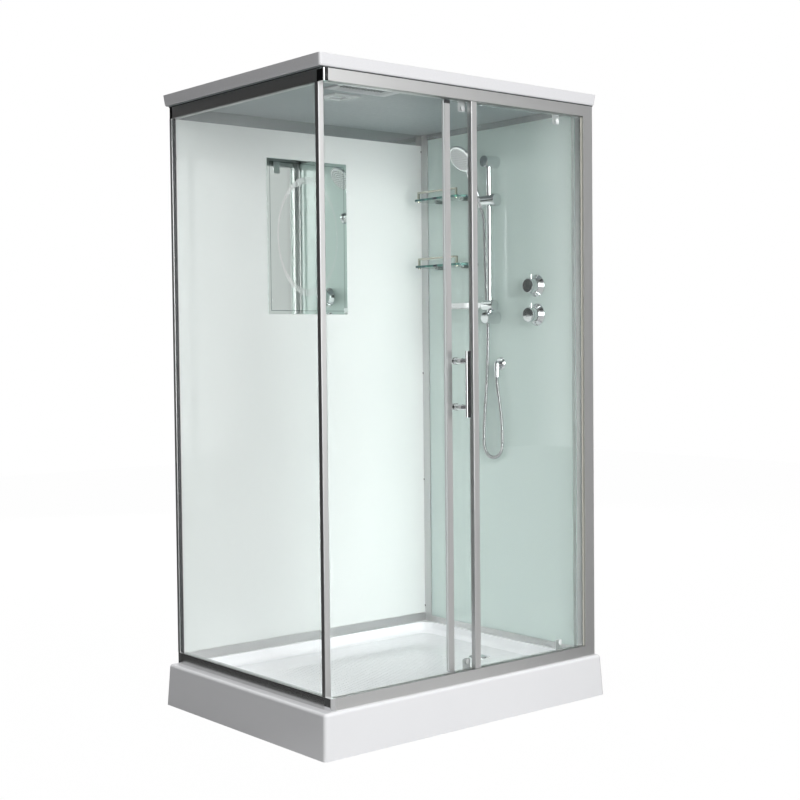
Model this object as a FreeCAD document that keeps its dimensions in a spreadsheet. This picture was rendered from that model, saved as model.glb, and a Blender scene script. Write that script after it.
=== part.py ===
import FreeCAD, Part
import math
import os
import Sketcher

# Rectangular shower cabin with a sliding door, in millimetres.
# X runs along the front to the right, Y from the front to the back, Z up from the foot of the tray.

Vector = FreeCAD.Vector

DIMENSIONS = [
    # tray
    ("tray_length", 1200, "foot of the tray along the front"),
    ("tray_width", 900, "foot of the tray from front to back"),
    ("tray_height", 138, "rim above the floor of the room"),
    ("skirt_flare", 8, "how far the skirt leans out at its foot, each side"),
    ("tray_shell", 5, "wall of the tray"),
    ("recess_depth", 40, "rim down to the standing surface"),
    ("tray_corner", 12.5, "upright corner radius of the skirt"),
    ("tray_edge", 10, "rounding along the top of the skirt"),
    ("rim_left", 67, "rim from the skirt to the recess, left"),
    ("rim_right", 58, "rim from the skirt to the recess, right"),
    ("rim_front", 72, "rim from the skirt to the recess, front"),
    ("rim_back", 28, "rim from the skirt to the recess, back"),
    ("recess_corner", 60, "upright corner radius of the recess"),
    ("recess_foot", 18, "cove between the recess wall and the floor"),
    ("drain_setback", 210, "waste centre from the right edge of the skirt top"),
    ("drain_y", -51, "waste centre from front to back"),
    ("drain_radius", 27, "hole in the tray for the waste"),
    ("flange_radius", 37.5, "waste flange"),
    ("flange_thickness", 2.5, "waste flange"),
    ("trap_radius", 42, "waste trap cup"),
    ("trap_bottom", 26, "lowest point of the trap above the floor of the room"),
    ("outlet_radius", 20, "waste outlet spigot"),
    ("outlet_length", 120, "waste outlet end from the drain centre"),
    ("outlet_collar", 46, "shoulder of the spigot from the drain centre"),
    ("pipe_wall", 3, "wall of the trap and its spigot"),
    # steel frame and feet
    ("tube_size", 25, "square tube under the tray"),
    ("tube_wall", 2, "wall of that tube"),
    ("frame_inset", 80, "foot of the tray to the ends of the long tubes"),
    ("frame_side_inset", 190, "foot of the tray to the long tubes, front and back"),
    ("foot_radius", 27, "pad of a levelling foot"),
    ("foot_rim", 6, "rim of that pad"),
    ("foot_height", 15, "pad of a levelling foot"),
    ("stud_radius", 6, "stud of a levelling foot"),
    ("nut_radius", 11, "lock nut of a levelling foot"),
    ("nut_height", 8, "lock nut of a levelling foot"),
    # frame planes, from the top edge of the skirt inwards
    ("left_setback", 33, "skirt top to the left frame face"),
    ("right_setback", 15, "skirt top to the right frame face"),
    ("front_setback", 15, "skirt top to the front frame face"),
    ("back_setback", 4, "skirt top to the back frame face"),
    ("frame_height", 1876, "rim to the underside of the roof"),
    ("profile_wall", 2, "wall of the aluminium profiles"),
    ("profile_round", 2.5, "rounded outer edges of the profiles"),
    ("rail_depth", 24, "left rails, inwards"),
    ("front_box", 23, "glazed part of the front rails, inwards"),
    ("track_depth", 24, "track part of the front rails, inwards"),
    ("wall_rail_depth", 14, "back and right rails, inwards"),
    ("bottom_rail_height", 37, "front and left bottom rails"),
    ("top_rail_height", 40, "front, left and back top rails"),
    ("back_rail_height", 32, "back bottom rail"),
    ("side_rail_height", 22, "right rails"),
    ("post_width", 21, "left posts along the front"),
    ("post_depth", 16, "front left post from front to back"),
    ("post_setback", 27, "front frame face to the front left post"),
    ("right_post_width", 46, "face of the front right post"),
    ("wing_depth", 24, "wall wing of the front right post"),
    ("corner_depth", 46, "back right post from front to back"),
    ("cap_width", 17, "front corner cap along the front"),
    ("cap_depth", 33, "front corner cap along the side"),
    ("back_cap_depth", 20, "back corner cap along the side"),
    ("cap_round", 4, "rounded corner of the caps"),
    # glass
    ("glass_thickness", 5, "all panes"),
    ("glass_clearance", 0.4, "between a pane and the sides of its channel"),
    ("glass_bite", 12, "channel depth in the rails"),
    ("post_bite", 8, "channel depth in the posts"),
    ("edge_clearance", 2, "above and beside a pane in its channel"),
    ("left_glass_inset", 8, "left frame face to the pane"),
    ("fixed_glass_inset", 11, "front frame face to the fixed pane"),
    ("door_inset", 33, "front frame face to the door pane"),
    ("back_glass_inset", 7, "back frame face to the pane"),
    ("right_glass_inset", 26.5, "right frame face to the pane"),
    # front panels
    ("panel_overlap", 32, "closed door over the fixed panel"),
    ("fixed_profile_width", 23, "free edge profile of the fixed panel"),
    ("fixed_profile_depth", 18, "free edge profile of the fixed panel"),
    ("door_extra", 79, "how much wider the door is than the fixed panel"),
    ("door_end_gap", 15, "open door to the right post"),
    ("door_seal_width", 4, "magnetic seal in front of the door profile"),
    ("door_seal_depth", 8, "magnetic seal from front to back"),
    ("door_profile_width", 21, "leading profile of the door"),
    ("door_profile_depth", 14, "leading profile of the door"),
    ("trailing_seal_width", 9, "seal on the trailing edge of the door"),
    ("trailing_seal_back", 3, "back of that seal, behind the edge of the pane"),
    ("trailing_seal_wall", 1.5, "sides of that seal"),
    ("door_top_gap", 3, "door pane below the top rail"),
    ("door_drop", 2, "door pane below the top of the bottom rail"),
    # rollers and track
    ("roller_radius", 11.5, "flanges of a roller"),
    ("roller_width", 5.4, "roller"),
    ("groove_depth", 2, "running groove of a roller"),
    ("groove_width", 3.4, "running groove of a roller"),
    ("roller_inset", 83, "roller axle from the end of the door"),
    ("roller_offset", 1, "roller plane in front of the door pane"),
    ("axle_radius", 3, "roller axle"),
    ("running_clearance", 0.05, "radial clearance on axles and stems"),
    ("track_clearance", 0.3, "roller groove to track bead"),
    ("lip_thickness", 3, "track lip of the top rail"),
    ("shelf_thickness", 6, "track floor of the bottom rail"),
    ("bead_width", 2.6, "track bead"),
    ("bead_height", 4, "track bead"),
    ("bracket_width", 30, "roller bracket along the front"),
    ("bracket_reach", 48, "roller bracket past the axle"),
    ("bracket_thickness", 3, "roller bracket plate"),
    ("bolt_radius", 5, "bolts through the panes"),
    ("bolt_rise", 38, "roller axle to the bracket bolt"),
    ("bolt_cap", 8, "radius of the cap on a bracket bolt"),
    ("bolt_cap_height", 3, "cap on a bracket bolt"),
    ("wall_nut", 10, "radius of the nuts behind the wall"),
    ("wall_nut_height", 6, "nuts behind the wall"),
    ("hole_clearance", 0.4, "bolt to its hole in the glass"),
    # handle
    ("handle_length", 208, "handle bar"),
    ("handle_width", 20, "handle bar"),
    ("handle_thickness", 8, "handle bar"),
    ("handle_round", 3, "rounded edges of the handle bar"),
    ("handle_spacing", 145, "between the handle mounts"),
    ("handle_lift", 13, "middle of the handle above the middle of the door"),
    ("handle_inset", 45, "handle from the leading edge of the door"),
    ("handle_standoff", 54, "pane to the back of the bar"),
    ("handle_neck", 6, "radius of a handle mount at the bar"),
    ("handle_washer", 11, "radius of a handle mount at the pane"),
    ("handle_washer_height", 4, "washer of a handle mount"),
    ("handle_boss", 9.4, "radius of the stout part of a handle mount"),
    ("handle_boss_length", 32, "pane to the end of the stout part"),
    ("handle_cap", 12, "length of the inner cap"),
    # mirror
    ("mirror_width", 350, "mirror"),
    ("mirror_height", 550, "mirror"),
    ("mirror_thickness", 5, "mirror"),
    ("mirror_bevel", 1.5, "bevel round the mirror"),
    ("mirror_drop", 414, "roof line to the middle of the mirror"),
    # shelves
    ("shelf_clearance", 47.5, "hand shower to the near end of the shelves"),
    ("shelf_end_gap", 23.5, "far end of the shelves to the back right post"),
    ("shelf_reach", 98, "shelf out from the wall"),
    ("shelf_pane", 8, "shelf thickness"),
    ("shelf_corner", 22, "rounded outer corners of a shelf"),
    ("shelf_gap", 2, "shelf to the wall"),
    ("upper_shelf_drop", 257, "roof line to the top of the upper shelf"),
    ("shelf_spacing", 249, "between the shelves"),
    ("gallery_height", 28, "gallery rail above its shelf"),
    ("gallery_bar", 7, "bar of the gallery rail"),
    ("gallery_inset", 22, "gallery post from the shelf end"),
    ("gallery_stud", 3, "radius of the studs through the shelf"),
    ("gallery_nut", 5.5, "radius of the nuts under the shelf"),
    ("gallery_nut_height", 4, "nuts under the shelf"),
    ("gallery_round", 4, "rounded corners of the gallery rail"),
    ("gallery_edge", 12, "gallery rail from the outer edge of the shelf"),
    ("clip_radius", 11, "shelf clip"),
    ("clip_length", 30, "shelf clip out from the wall"),
    ("clip_spacing", 140, "between the clips of a shelf"),
    # riser rail
    ("riser_y", 18, "riser rail from front to back"),
    ("riser_standoff", 38, "wall to the riser rail"),
    ("riser_radius", 10, "riser rail"),
    ("riser_drop", 146, "roof line to the upper bracket"),
    ("riser_span", 562, "between the two brackets"),
    ("riser_entry", 8, "riser rail past the bracket axis"),
    ("wall_bracket_length", 65, "wall bracket out from the wall"),
    ("wall_bracket_base", 23, "wall bracket radius at the wall"),
    ("wall_bracket_end", 20.5, "wall bracket radius at its end"),
    ("soft_edge", 2, "small chamfer on turned pieces"),
    # hand shower
    ("slider_drop", 139, "upper bracket to the hand shower slider"),
    ("slider_radius", 20, "barrel of a slider"),
    ("slider_front", 28, "barrel in front of the riser rail"),
    ("slider_back", 28, "barrel behind the riser rail"),
    ("slider_clearance", 0.3, "slider bore to the riser rail"),
    ("clamp_radius", 23.5, "clamp knob"),
    ("clamp_length", 14, "clamp knob"),
    ("clamp_stud", 5, "radius of the clamp knob's stud"),
    ("clamp_depth", 10, "stud inside the slider"),
    ("clamp_gap", 0.3, "slider to the clamp knob"),
    ("holder_offset", 50, "riser rail to the hand shower"),
    ("holder_tilt", 24, "lean of the hand shower in degrees"),
    ("holder_radius", 17.5, "holder"),
    ("holder_height", 36, "holder"),
    ("holder_slot", 15, "slot of the holder for the hose"),
    ("pivot_radius", 8, "pivot of the holder"),
    ("pivot_length", 11, "pivot inside the slider"),
    ("nut_top", 12.6, "hose nut radius in the holder, top"),
    ("nut_foot", 11.1, "hose nut radius in the holder, bottom"),
    ("nut_drop", 26, "hose nut below the pivot"),
    ("socket_clearance", 0.3, "hose nut to the holder"),
    ("grip_length", 132, "hand shower grip above the holder"),
    ("grip_radius", 12, "hand shower grip"),
    ("head_radius", 52, "hand shower head"),
    ("head_depth", 20, "hand shower head"),
    ("head_wall", 3, "wall of the hand shower head"),
    ("head_offset", 14, "head in front of the grip axis"),
    ("head_rise", 22, "head centre above the end of the grip"),
    ("head_tilt", 11, "head against the grip in degrees"),
    ("spray_radius", 46, "spray face"),
    ("spray_height", 2.5, "spray face in front of the head"),
    # hose and elbow
    ("hose_radius", 6.5, "shower hose"),
    ("elbow_below", 167, "lower bracket to the wall elbow"),
    ("elbow_standoff", 22, "wall to the elbow outlet"),
    ("elbow_radius", 10.5, "elbow outlet"),
    ("elbow_arm", 9, "radius of the elbow at its rosette"),
    ("elbow_drop", 47, "elbow axis to the end of its outlet"),
    ("rosette_radius", 23, "elbow rosette"),
    ("rosette_height", 8, "elbow rosette"),
    ("inlet_length", 34, "elbow inlet behind the face of the wall"),
    ("elbow_nut", 16, "radius of the elbow's nut behind the wall"),
    ("elbow_nut_height", 6, "elbow's nut behind the wall"),
    # soap dish
    ("dish_length", 132, "soap dish along the wall"),
    ("dish_reach", 86, "soap dish out from the wall"),
    ("dish_height", 20, "soap dish"),
    ("dish_shell", 3, "wall of the soap dish"),
    ("dish_corner", 24, "rounded corners of the soap dish"),
    ("dish_edge", 6, "rounding along the foot of the soap dish"),
    ("dish_gap", 6, "neck between the slider and the soap dish"),
    # valves
    ("valve_y", -184, "valves from front to back"),
    ("valve_above", 108, "lower bracket up to the upper valve"),
    ("valve_spacing", 102, "between the valves"),
    ("escutcheon_radius", 39, "escutcheon"),
    ("escutcheon_height", 19.5, "escutcheon"),
    ("escutcheon_neck", 27, "escutcheon at the knob"),
    ("knob_radius", 25, "valve knob"),
    ("knob_length", 28, "valve knob"),
    ("knob_gap", 0.5, "escutcheon to the knob"),
    ("pin_radius", 4, "pin lever"),
    ("pin_length", 15, "pin lever"),
    ("pin_setback", 9, "pin lever from the back of the knob"),
    ("knob_groove", 1.5, "depth of the groove round a knob"),
    ("knob_cap", 9, "front of a knob up to its groove"),
    ("valve_flange", 27, "valve body flange against the wall"),
    ("valve_flange_height", 4, "valve body flange"),
    ("manifold_radius", 13, "pipes between the valves"),
    ("stem_radius", 8, "valve stem"),
    ("valve_hole", 18, "hole in the wall pane for a valve"),
    ("valve_body_radius", 19, "valve body behind the wall"),
    ("valve_body_depth", 38, "valve body behind the wall"),
    ("inlet_radius", 10.5, "water inlet"),
    ("inlet_drop", 46, "water inlet below the lower valve"),
    ("inlet_collar", 14, "radius of the collar above a water inlet"),
    ("inlet_collar_drop", 18, "lower valve to the foot of that collar"),
    ("inlet_spacing", 46, "between the water inlets"),
    # roof
    ("roof_end_setback", 13.5, "skirt top to the foot of the roof, at the ends"),
    ("roof_side_setback", 6, "skirt top to the foot of the roof, front and back"),
    ("roof_height", 36, "roof"),
    ("roof_flare", 4, "how far the roof leans out at its top, each side"),
    ("roof_shell", 4, "wall of the roof"),
    ("roof_corner", 8, "upright corner radius of the roof"),
    ("roof_edge", 6.5, "rounding along the lower edge of the roof"),
    ("ceiling_thickness", 4, "ceiling panel"),
    ("fan_x", -236, "fan along the front"),
    ("fan_y", -211, "fan from front to back"),
    ("grille_length", 239, "ventilation grille"),
    ("grille_width", 103, "ventilation grille"),
    ("grille_thickness", 5, "ventilation grille"),
    ("slot_length", 180, "slot of the grille"),
    ("slot_width", 4, "slot of the grille"),
    ("slot_pitch", 9, "between the slots of the grille"),
    ("fan_radius", 46, "fan opening"),
    ("fan_depth", 24, "fan housing"),
    ("fan_wall", 3, "wall of the fan housing"),
    ("spindle_radius", 4, "fan spindle"),
    ("rotor_height", 14, "fan rotor"),
    ("rotor_gap", 2, "ceiling to the fan rotor"),
    ("blade_thickness", 2, "fan blade"),
    ("fan_hub", 17, "fan hub"),
    ("fan_clearance", 1.5, "blades to the fan opening"),
    ("lamp_x", -227, "lamp along the front"),
    ("lamp_y", -60, "lamp from front to back"),
    ("lamp_size", 105, "side of the lamp"),
    ("lamp_height", 6, "lamp below the ceiling"),
    ("lamp_round", 2, "rounded edge of the lamp"),
]

SLOT_COUNT = 9
BLADE_COUNT = 7

doc = FreeCAD.newDocument("ShowerCabin")
sheet = doc.addObject("Spreadsheet::Sheet", "Dims")
for row, (name, value, meaning) in enumerate(DIMENSIONS, start=1):
    sheet.set("A%d" % row, name)
    sheet.set("B%d" % row, str(value))
    sheet.setAlias("B%d" % row, name)
    sheet.set("C%d" % row, meaning)
doc.recompute()


class Size:
    """A length that carries the spreadsheet formula it comes from."""

    def __init__(self, value, formula):
        self.value = float(value)
        self.formula = formula

    def __add__(self, other):
        other = as_size(other)
        return Size(self.value + other.value, "(%s + %s)" % (self.formula, other.formula))

    def __sub__(self, other):
        other = as_size(other)
        return Size(self.value - other.value, "(%s - %s)" % (self.formula, other.formula))

    def __mul__(self, other):
        other = as_size(other)
        return Size(self.value * other.value, "(%s * %s)" % (self.formula, other.formula))

    def __truediv__(self, other):
        other = as_size(other)
        return Size(self.value / other.value, "(%s / %s)" % (self.formula, other.formula))

    def __neg__(self):
        return Size(-self.value, "(0 - %s)" % self.formula)


def as_size(number):
    """Plain numbers join in as fixed terms of a formula."""
    if isinstance(number, Size):
        return number
    return Size(number, "(%r)" % float(number))


class Dimensions:
    """Every driving dimension of the sheet, by its alias."""

    def __init__(self):
        for name, value, meaning in DIMENSIONS:
            setattr(self, name, Size(sheet.get(name), "Dims." + name))


d = Dimensions()
ZERO = as_size(0)

# Planes that the pieces share.
skirt_x = d.tray_length / 2 - d.skirt_flare
skirt_y = d.tray_width / 2 - d.skirt_flare
left_face = d.left_setback - skirt_x
right_face = skirt_x - d.right_setback
front_face = d.front_setback - skirt_y
back_face = skirt_y - d.back_setback
rim = d.tray_height
roof_line = rim + d.frame_height
tray_floor = rim - d.recess_depth
drain_x = skirt_x - d.drain_setback
tube_length = d.tray_length - d.frame_inset * 2
tube_spacing = d.tray_width - d.frame_side_inset * 2

half_glass = d.glass_thickness / 2
half_slot = half_glass + d.glass_clearance
left_pane = left_face + d.left_glass_inset
fixed_pane = front_face + d.fixed_glass_inset
door_pane = front_face + d.door_inset
back_pane = back_face - d.back_glass_inset
right_pane = right_face - d.right_glass_inset
back_wall = back_pane - half_glass
right_wall = right_pane - half_glass

bottom_rail_top = rim + d.bottom_rail_height
top_rail_foot = roof_line - d.top_rail_height
back_rail_top = rim + d.back_rail_height
side_rail_top = rim + d.side_rail_height
side_rail_foot = roof_line - d.side_rail_height
wall_half = d.wall_rail_depth / 2

right_post_left = right_face - d.right_post_width
right_post_inner = right_pane - wall_half
front_post_back = front_face + d.post_setback + d.post_depth
wing_back = front_face + d.post_setback + d.wing_depth
corner_front = back_face - d.corner_depth
left_post_inner = left_face + d.post_width
back_rail_front = back_pane - wall_half

box_back = front_face + d.front_box
track_back = box_back + d.track_depth
roller_plane = door_pane - d.roller_offset
groove_radius = d.roller_radius - d.groove_depth
lower_axle = rim + d.shelf_thickness + d.bead_height + d.track_clearance + groove_radius
upper_axle = top_rail_foot + d.lip_thickness + d.bead_height + d.track_clearance + groove_radius

front_clear = right_post_left - left_post_inner
fixed_panel_width = (front_clear + d.panel_overlap - d.door_extra) / 2
door_width = fixed_panel_width + d.door_extra
door_right = right_post_left - d.door_end_gap
door_left = door_right - door_width
door_foot = bottom_rail_top - d.door_drop
door_top = top_rail_foot - d.door_top_gap
door_front = door_pane - half_glass
door_back = door_pane + half_glass
handle_x = door_left + d.handle_inset
handle_height = (door_foot + door_top) / 2 + d.handle_lift

riser_x = right_wall - d.riser_standoff
holder_y = d.riser_y + d.holder_offset
riser_top = roof_line - d.riser_drop
riser_foot = riser_top - d.riser_span
slider_height = riser_top - d.slider_drop
soap_height = riser_foot + d.wall_bracket_base + d.slider_radius + 1
elbow_height = riser_foot - d.elbow_below
upper_valve = riser_foot + d.valve_above
lower_valve = upper_valve - d.valve_spacing
mirror_middle = roof_line - d.mirror_drop
upper_shelf = roof_line - d.upper_shelf_drop
lower_shelf = upper_shelf - d.shelf_spacing
shelf_start = holder_y + d.shelf_clearance
shelf_length = corner_front - d.shelf_end_gap - shelf_start
shelf_y = shelf_start + shelf_length / 2

# The frame's origin lies under the middle of the whole cabin, and the handle reaches past the tray.
handle_reach = door_front - d.handle_standoff - d.handle_thickness
origin_shift = -(handle_reach + d.tray_width / 2) / 2

nodes = []


def node(thing, label):
    """Name a finished sub-part; its label is also the name of its file."""
    thing.Label = label
    nodes.append(thing)
    return thing


def place(thing, x=ZERO, y=ZERO, z=ZERO):
    """Bind the place of a sub-part to the sheet."""
    thing.setExpression("Placement.Base.x", as_size(x).formula)
    thing.setExpression("Placement.Base.y", (as_size(y) + origin_shift).formula)
    thing.setExpression("Placement.Base.z", as_size(z).formula)
    return thing


def new_body(name):
    return doc.addObject("PartDesign::Body", name)


def sketch_on(body, role, height=None):
    """A sketch on one of the body's own planes, or on one parallel to it."""
    planes = [f for f in body.Origin.OriginFeatures if getattr(f, "Role", "") == role]
    sketch = body.newObject("Sketcher::SketchObject", "Sketch")
    sketch.AttachmentSupport = [(planes[0], "")]
    sketch.MapMode = "FlatFace"
    if height is not None:
        sketch.setExpression("AttachmentOffset.Base.z", height.formula)
    return sketch


def pin_point(sketch, geometry, position, across, up):
    """Hold one point of a sketch at two sizes from the origin."""
    for kind, axis, size in (("DistanceX", -2, across), ("DistanceY", -1, up)):
        if size.formula == ZERO.formula:
            sketch.addConstraint(Sketcher.Constraint("PointOnObject", geometry, position, axis))
        else:
            rule = Sketcher.Constraint(kind, -1, 1, geometry, position, size.value)
            index = sketch.addConstraint(rule)
            sketch.setExpression("Constraints[%d]" % index, size.formula)


def outline(sketch, corners):
    """A closed outline through corners given as pairs of sizes."""
    corners = [(as_size(a), as_size(b)) for a, b in corners]
    first = sketch.GeometryCount
    count = len(corners)
    for i in range(count):
        a = corners[i]
        b = corners[(i + 1) % count]
        line = Part.LineSegment(Vector(a[0].value, a[1].value, 0), Vector(b[0].value, b[1].value, 0))
        sketch.addGeometry(line, False)
    for i in range(count):
        sketch.addConstraint(Sketcher.Constraint("Coincident", first + i, 2, first + (i + 1) % count, 1))
    for i, (across, up) in enumerate(corners):
        pin_point(sketch, first + i, 1, across, up)
    return sketch


def circle(sketch, across, up, radius):
    """A circle whose centre and radius come from the sheet."""
    across = as_size(across)
    up = as_size(up)
    centre = Vector(across.value, up.value, 0)
    index = sketch.addGeometry(Part.Circle(centre, Vector(0, 0, 1), radius.value), False)
    pin_point(sketch, index, 3, across, up)
    rule = sketch.addConstraint(Sketcher.Constraint("Radius", index, radius.value))
    sketch.setExpression("Constraints[%d]" % rule, radius.formula)
    return sketch


def rectangle(a0, a1, b0, b1):
    return [(a0, b0), (a1, b0), (a1, b1), (a0, b1)]


def pad(body, sketch, length, reverse=False):
    feature = body.newObject("PartDesign::Pad", "Pad")
    feature.Profile = sketch
    feature.setExpression("Length", length.formula)
    feature.Reversed = reverse
    sketch.Visibility = False
    doc.recompute()
    return feature


def pocket(body, sketch, length=None, reverse=False):
    """Cut a sketch out of the body, to a depth or right through."""
    feature = body.newObject("PartDesign::Pocket", "Pocket")
    feature.Profile = sketch
    if length is None:
        feature.Type = "ThroughAll"
    else:
        feature.setExpression("Length", length.formula)
    feature.Reversed = reverse
    sketch.Visibility = False
    doc.recompute()
    return feature


def turn(body, role, corners, axis):
    """Turn an outline about an axis of its sketch."""
    sketch = outline(sketch_on(body, role), corners)
    feature = body.newObject("PartDesign::Revolution", "Revolution")
    feature.Profile = sketch
    feature.ReferenceAxis = (sketch, [axis])
    feature.Angle = 360
    sketch.Visibility = False
    doc.recompute()
    return feature


def edges_where(shape, test):
    """Names of the edges whose middle and box pass a test."""
    names = []
    for number, edge in enumerate(shape.Edges, start=1):
        middle = edge.valueAt((edge.FirstParameter + edge.LastParameter) / 2)
        if test(middle, edge.BoundBox):
            names.append("Edge%d" % number)
    return names


def fillet(body, radius, test):
    """Round the edges of the body that pass a test."""
    base = body.Tip
    feature = body.newObject("PartDesign::Fillet", "Fillet")
    feature.Base = (base, edges_where(base.Shape, test))
    feature.setExpression("Radius", radius.formula)
    doc.recompute()
    return feature


def chamfer(body, size, test):
    """Break the edges of the body that pass a test."""
    base = body.Tip
    feature = body.newObject("PartDesign::Chamfer", "Chamfer")
    feature.Base = (base, edges_where(base.Shape, test))
    feature.setExpression("Size", size.formula)
    doc.recompute()
    return feature


def lean_sides(body, run, rise, reverse=False):
    """Lean the upright faces of a body by a run over a rise; its foot stays as it is."""
    base = body.Tip
    names = []
    for number, face in enumerate(base.Shape.Faces, start=1):
        if abs(face.normalAt(0, 0).z) < 0.01:
            names.append("Face%d" % number)
    planes = [f for f in body.Origin.OriginFeatures if getattr(f, "Role", "") == "XY_Plane"]
    feature = body.newObject("PartDesign::Draft", "Draft")
    feature.Base = (base, names)
    feature.NeutralPlane = (planes[0], [""])
    feature.setExpression("Angle", "atan(%s / %s)" % (run.formula, rise.formula))
    feature.Reversed = reverse
    doc.recompute()
    return feature


def group(label, members):
    """Several separate solids that share one node."""
    compound = doc.addObject("Part::Compound", label)
    compound.Links = members
    return node(compound, label)


def close(a, b):
    return abs(a - b) < 0.01


def is_upright(box):
    return box.ZLength > box.XLength + box.YLength


def channel(side_a, side_b, back, mouth, pane, bite):
    """Outline of a profile with a glazing channel; the channel opens at the mouth."""
    floor = channel_floor(back, mouth, bite)
    return [
        (side_a, back),
        (side_b, back),
        (side_b, mouth),
        (pane + half_slot, mouth),
        (pane + half_slot, floor),
        (pane - half_slot, floor),
        (pane - half_slot, mouth),
        (side_a, mouth),
    ]


def channel_floor(back, mouth, bite):
    if mouth.value > back.value:
        return mouth - bite
    return mouth + bite


def chamber(side_a, side_b, back, mouth, bite):
    """Hollow of a profile behind its glazing channel."""
    wall = d.profile_wall
    floor = channel_floor(back, mouth, bite)
    if mouth.value > back.value:
        return rectangle(side_a + wall, side_b - wall, back + wall, floor - wall)
    return rectangle(side_a + wall, side_b - wall, floor + wall, back - wall)


def swapped(corners):
    return [(b, a) for a, b in corners]


# Tray, waste and the steel frame under it.

def make_tray():
    body = new_body("shower_tray")
    half_length = d.tray_length / 2
    half_width = d.tray_width / 2
    foot = rectangle(-half_length, half_length, -half_width, half_width)
    pad(body, outline(sketch_on(body, "XY_Plane"), foot), rim)
    lean_sides(body, d.skirt_flare, rim)
    fillet(body, d.tray_corner, lambda middle, box: is_upright(box))
    fillet(body, d.tray_edge, lambda middle, box: close(box.ZMin, rim.value))
    left = d.rim_left - skirt_x
    right = skirt_x - d.rim_right
    front = d.rim_front - skirt_y
    back = skirt_y - d.rim_back
    recess = outline(sketch_on(body, "XY_Plane", rim), rectangle(left, right, front, back))
    pocket(body, recess, rim - tray_floor)
    fillet(body, d.recess_corner, lambda middle, box: is_upright(box) and box.ZMin > tray_floor.value - 1)
    fillet(body, d.recess_foot, lambda middle, box: close(box.ZMax, tray_floor.value))
    shell = d.tray_shell
    cavity = rectangle(shell - skirt_x, skirt_x - shell, shell - skirt_y, skirt_y - shell)
    under_floor = outline(sketch_on(body, "XY_Plane"), cavity)
    pocket(body, under_floor, tray_floor - shell, reverse=True)
    under_rim = outline(sketch_on(body, "XY_Plane"), cavity)
    outline(under_rim, rectangle(left - shell, right + shell, front - shell, back + shell))
    pocket(body, under_rim, rim - shell, reverse=True)
    seat = circle(sketch_on(body, "XY_Plane", tray_floor), drain_x, d.drain_y, d.flange_radius + 0.3)
    pocket(body, seat, d.flange_thickness)
    hole = circle(sketch_on(body, "XY_Plane"), drain_x, d.drain_y, d.drain_radius)
    pocket(body, hole, reverse=True)
    node(place(body), "shower_tray")


def make_waste():
    """Flange and cap of the waste, then the trap under the tray."""
    neck = d.drain_radius - d.hole_clearance
    bore = neck - d.pipe_wall
    top = d.flange_thickness
    flange = new_body("waste_flange")
    turn(flange, "XZ_Plane", [
        (bore, -top - d.pipe_wall * 9),
        (neck, -top - d.pipe_wall * 9),
        (neck, -top),
        (d.flange_radius, -top),
        (d.flange_radius, ZERO),
        (neck + 1, ZERO),
        (bore, -top),
    ], "V_Axis")
    place(flange, drain_x, d.drain_y, tray_floor)
    cap = new_body("waste_cap")
    stem_foot = d.trap_bottom + d.pipe_wall - tray_floor
    turn(cap, "XZ_Plane", [
        (ZERO, stem_foot),
        (d.pipe_wall * 1.5, stem_foot),
        (d.pipe_wall * 1.5, top * 0.6),
        (bore, top * 0.6),
        (bore, top * 1.4),
        (bore * 0.7, top * 2.4),
        (ZERO, top * 2.8),
    ], "V_Axis")
    place(cap, drain_x, d.drain_y, tray_floor)
    group("waste_cover", [flange, cap])

    trap = new_body("waste_trap")
    cup_top = tray_floor - d.tray_shell
    turn(trap, "XZ_Plane", rectangle(ZERO, d.trap_radius, d.trap_bottom, cup_top), "V_Axis")
    outlet_z = d.trap_bottom + d.outlet_radius + d.pipe_wall
    collar = circle(sketch_on(trap, "XZ_Plane"), 0, outlet_z, d.outlet_radius + d.pipe_wall * 0.8)
    pad(trap, collar, d.outlet_collar, reverse=True)
    pad(trap, circle(sketch_on(trap, "XZ_Plane"), 0, outlet_z, d.outlet_radius), d.outlet_length, reverse=True)
    inside = circle(sketch_on(trap, "XY_Plane", cup_top), 0, 0, d.trap_radius - d.pipe_wall)
    pocket(trap, inside, cup_top - d.trap_bottom - d.pipe_wall)
    bore = circle(sketch_on(trap, "XZ_Plane"), 0, outlet_z, d.outlet_radius - d.pipe_wall)
    pocket(trap, bore, d.outlet_length)
    node(place(trap, drain_x, d.drain_y), "waste_trap")


frame_top = tray_floor - d.tray_shell
cross_x = tube_length / 2 - d.tube_size * 2


def square_tube(name, role, across, length, reverse=False):
    """A square tube whose section stands under the tray at one place across it."""
    body = new_body(name)
    half = d.tube_size / 2
    wall = d.tube_wall
    sketch = outline(sketch_on(body, role), rectangle(across - half, across + half, frame_top - d.tube_size, frame_top))
    outline(sketch, rectangle(
        across - half + wall, across + half - wall, frame_top - d.tube_size + wall, frame_top - wall))
    pad(body, sketch, length, reverse)
    return body


def make_tray_frame():
    tubes = []
    for side in (-1, 1):
        tube = square_tube("long_tube", "YZ_Plane", tube_spacing / 2 * side, tube_length)
        tubes.append(place(tube, -tube_length / 2))
    for side in (-1, 0, 1):
        length = tube_spacing - d.tube_size
        tube = square_tube("cross_tube", "XZ_Plane", cross_x * side, length, reverse=True)
        tubes.append(place(tube, ZERO, -length / 2))
    frame = doc.addObject("Part::MultiFuse", "tray_frame")
    frame.Shapes = tubes
    node(frame, "tray_frame")


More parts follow.
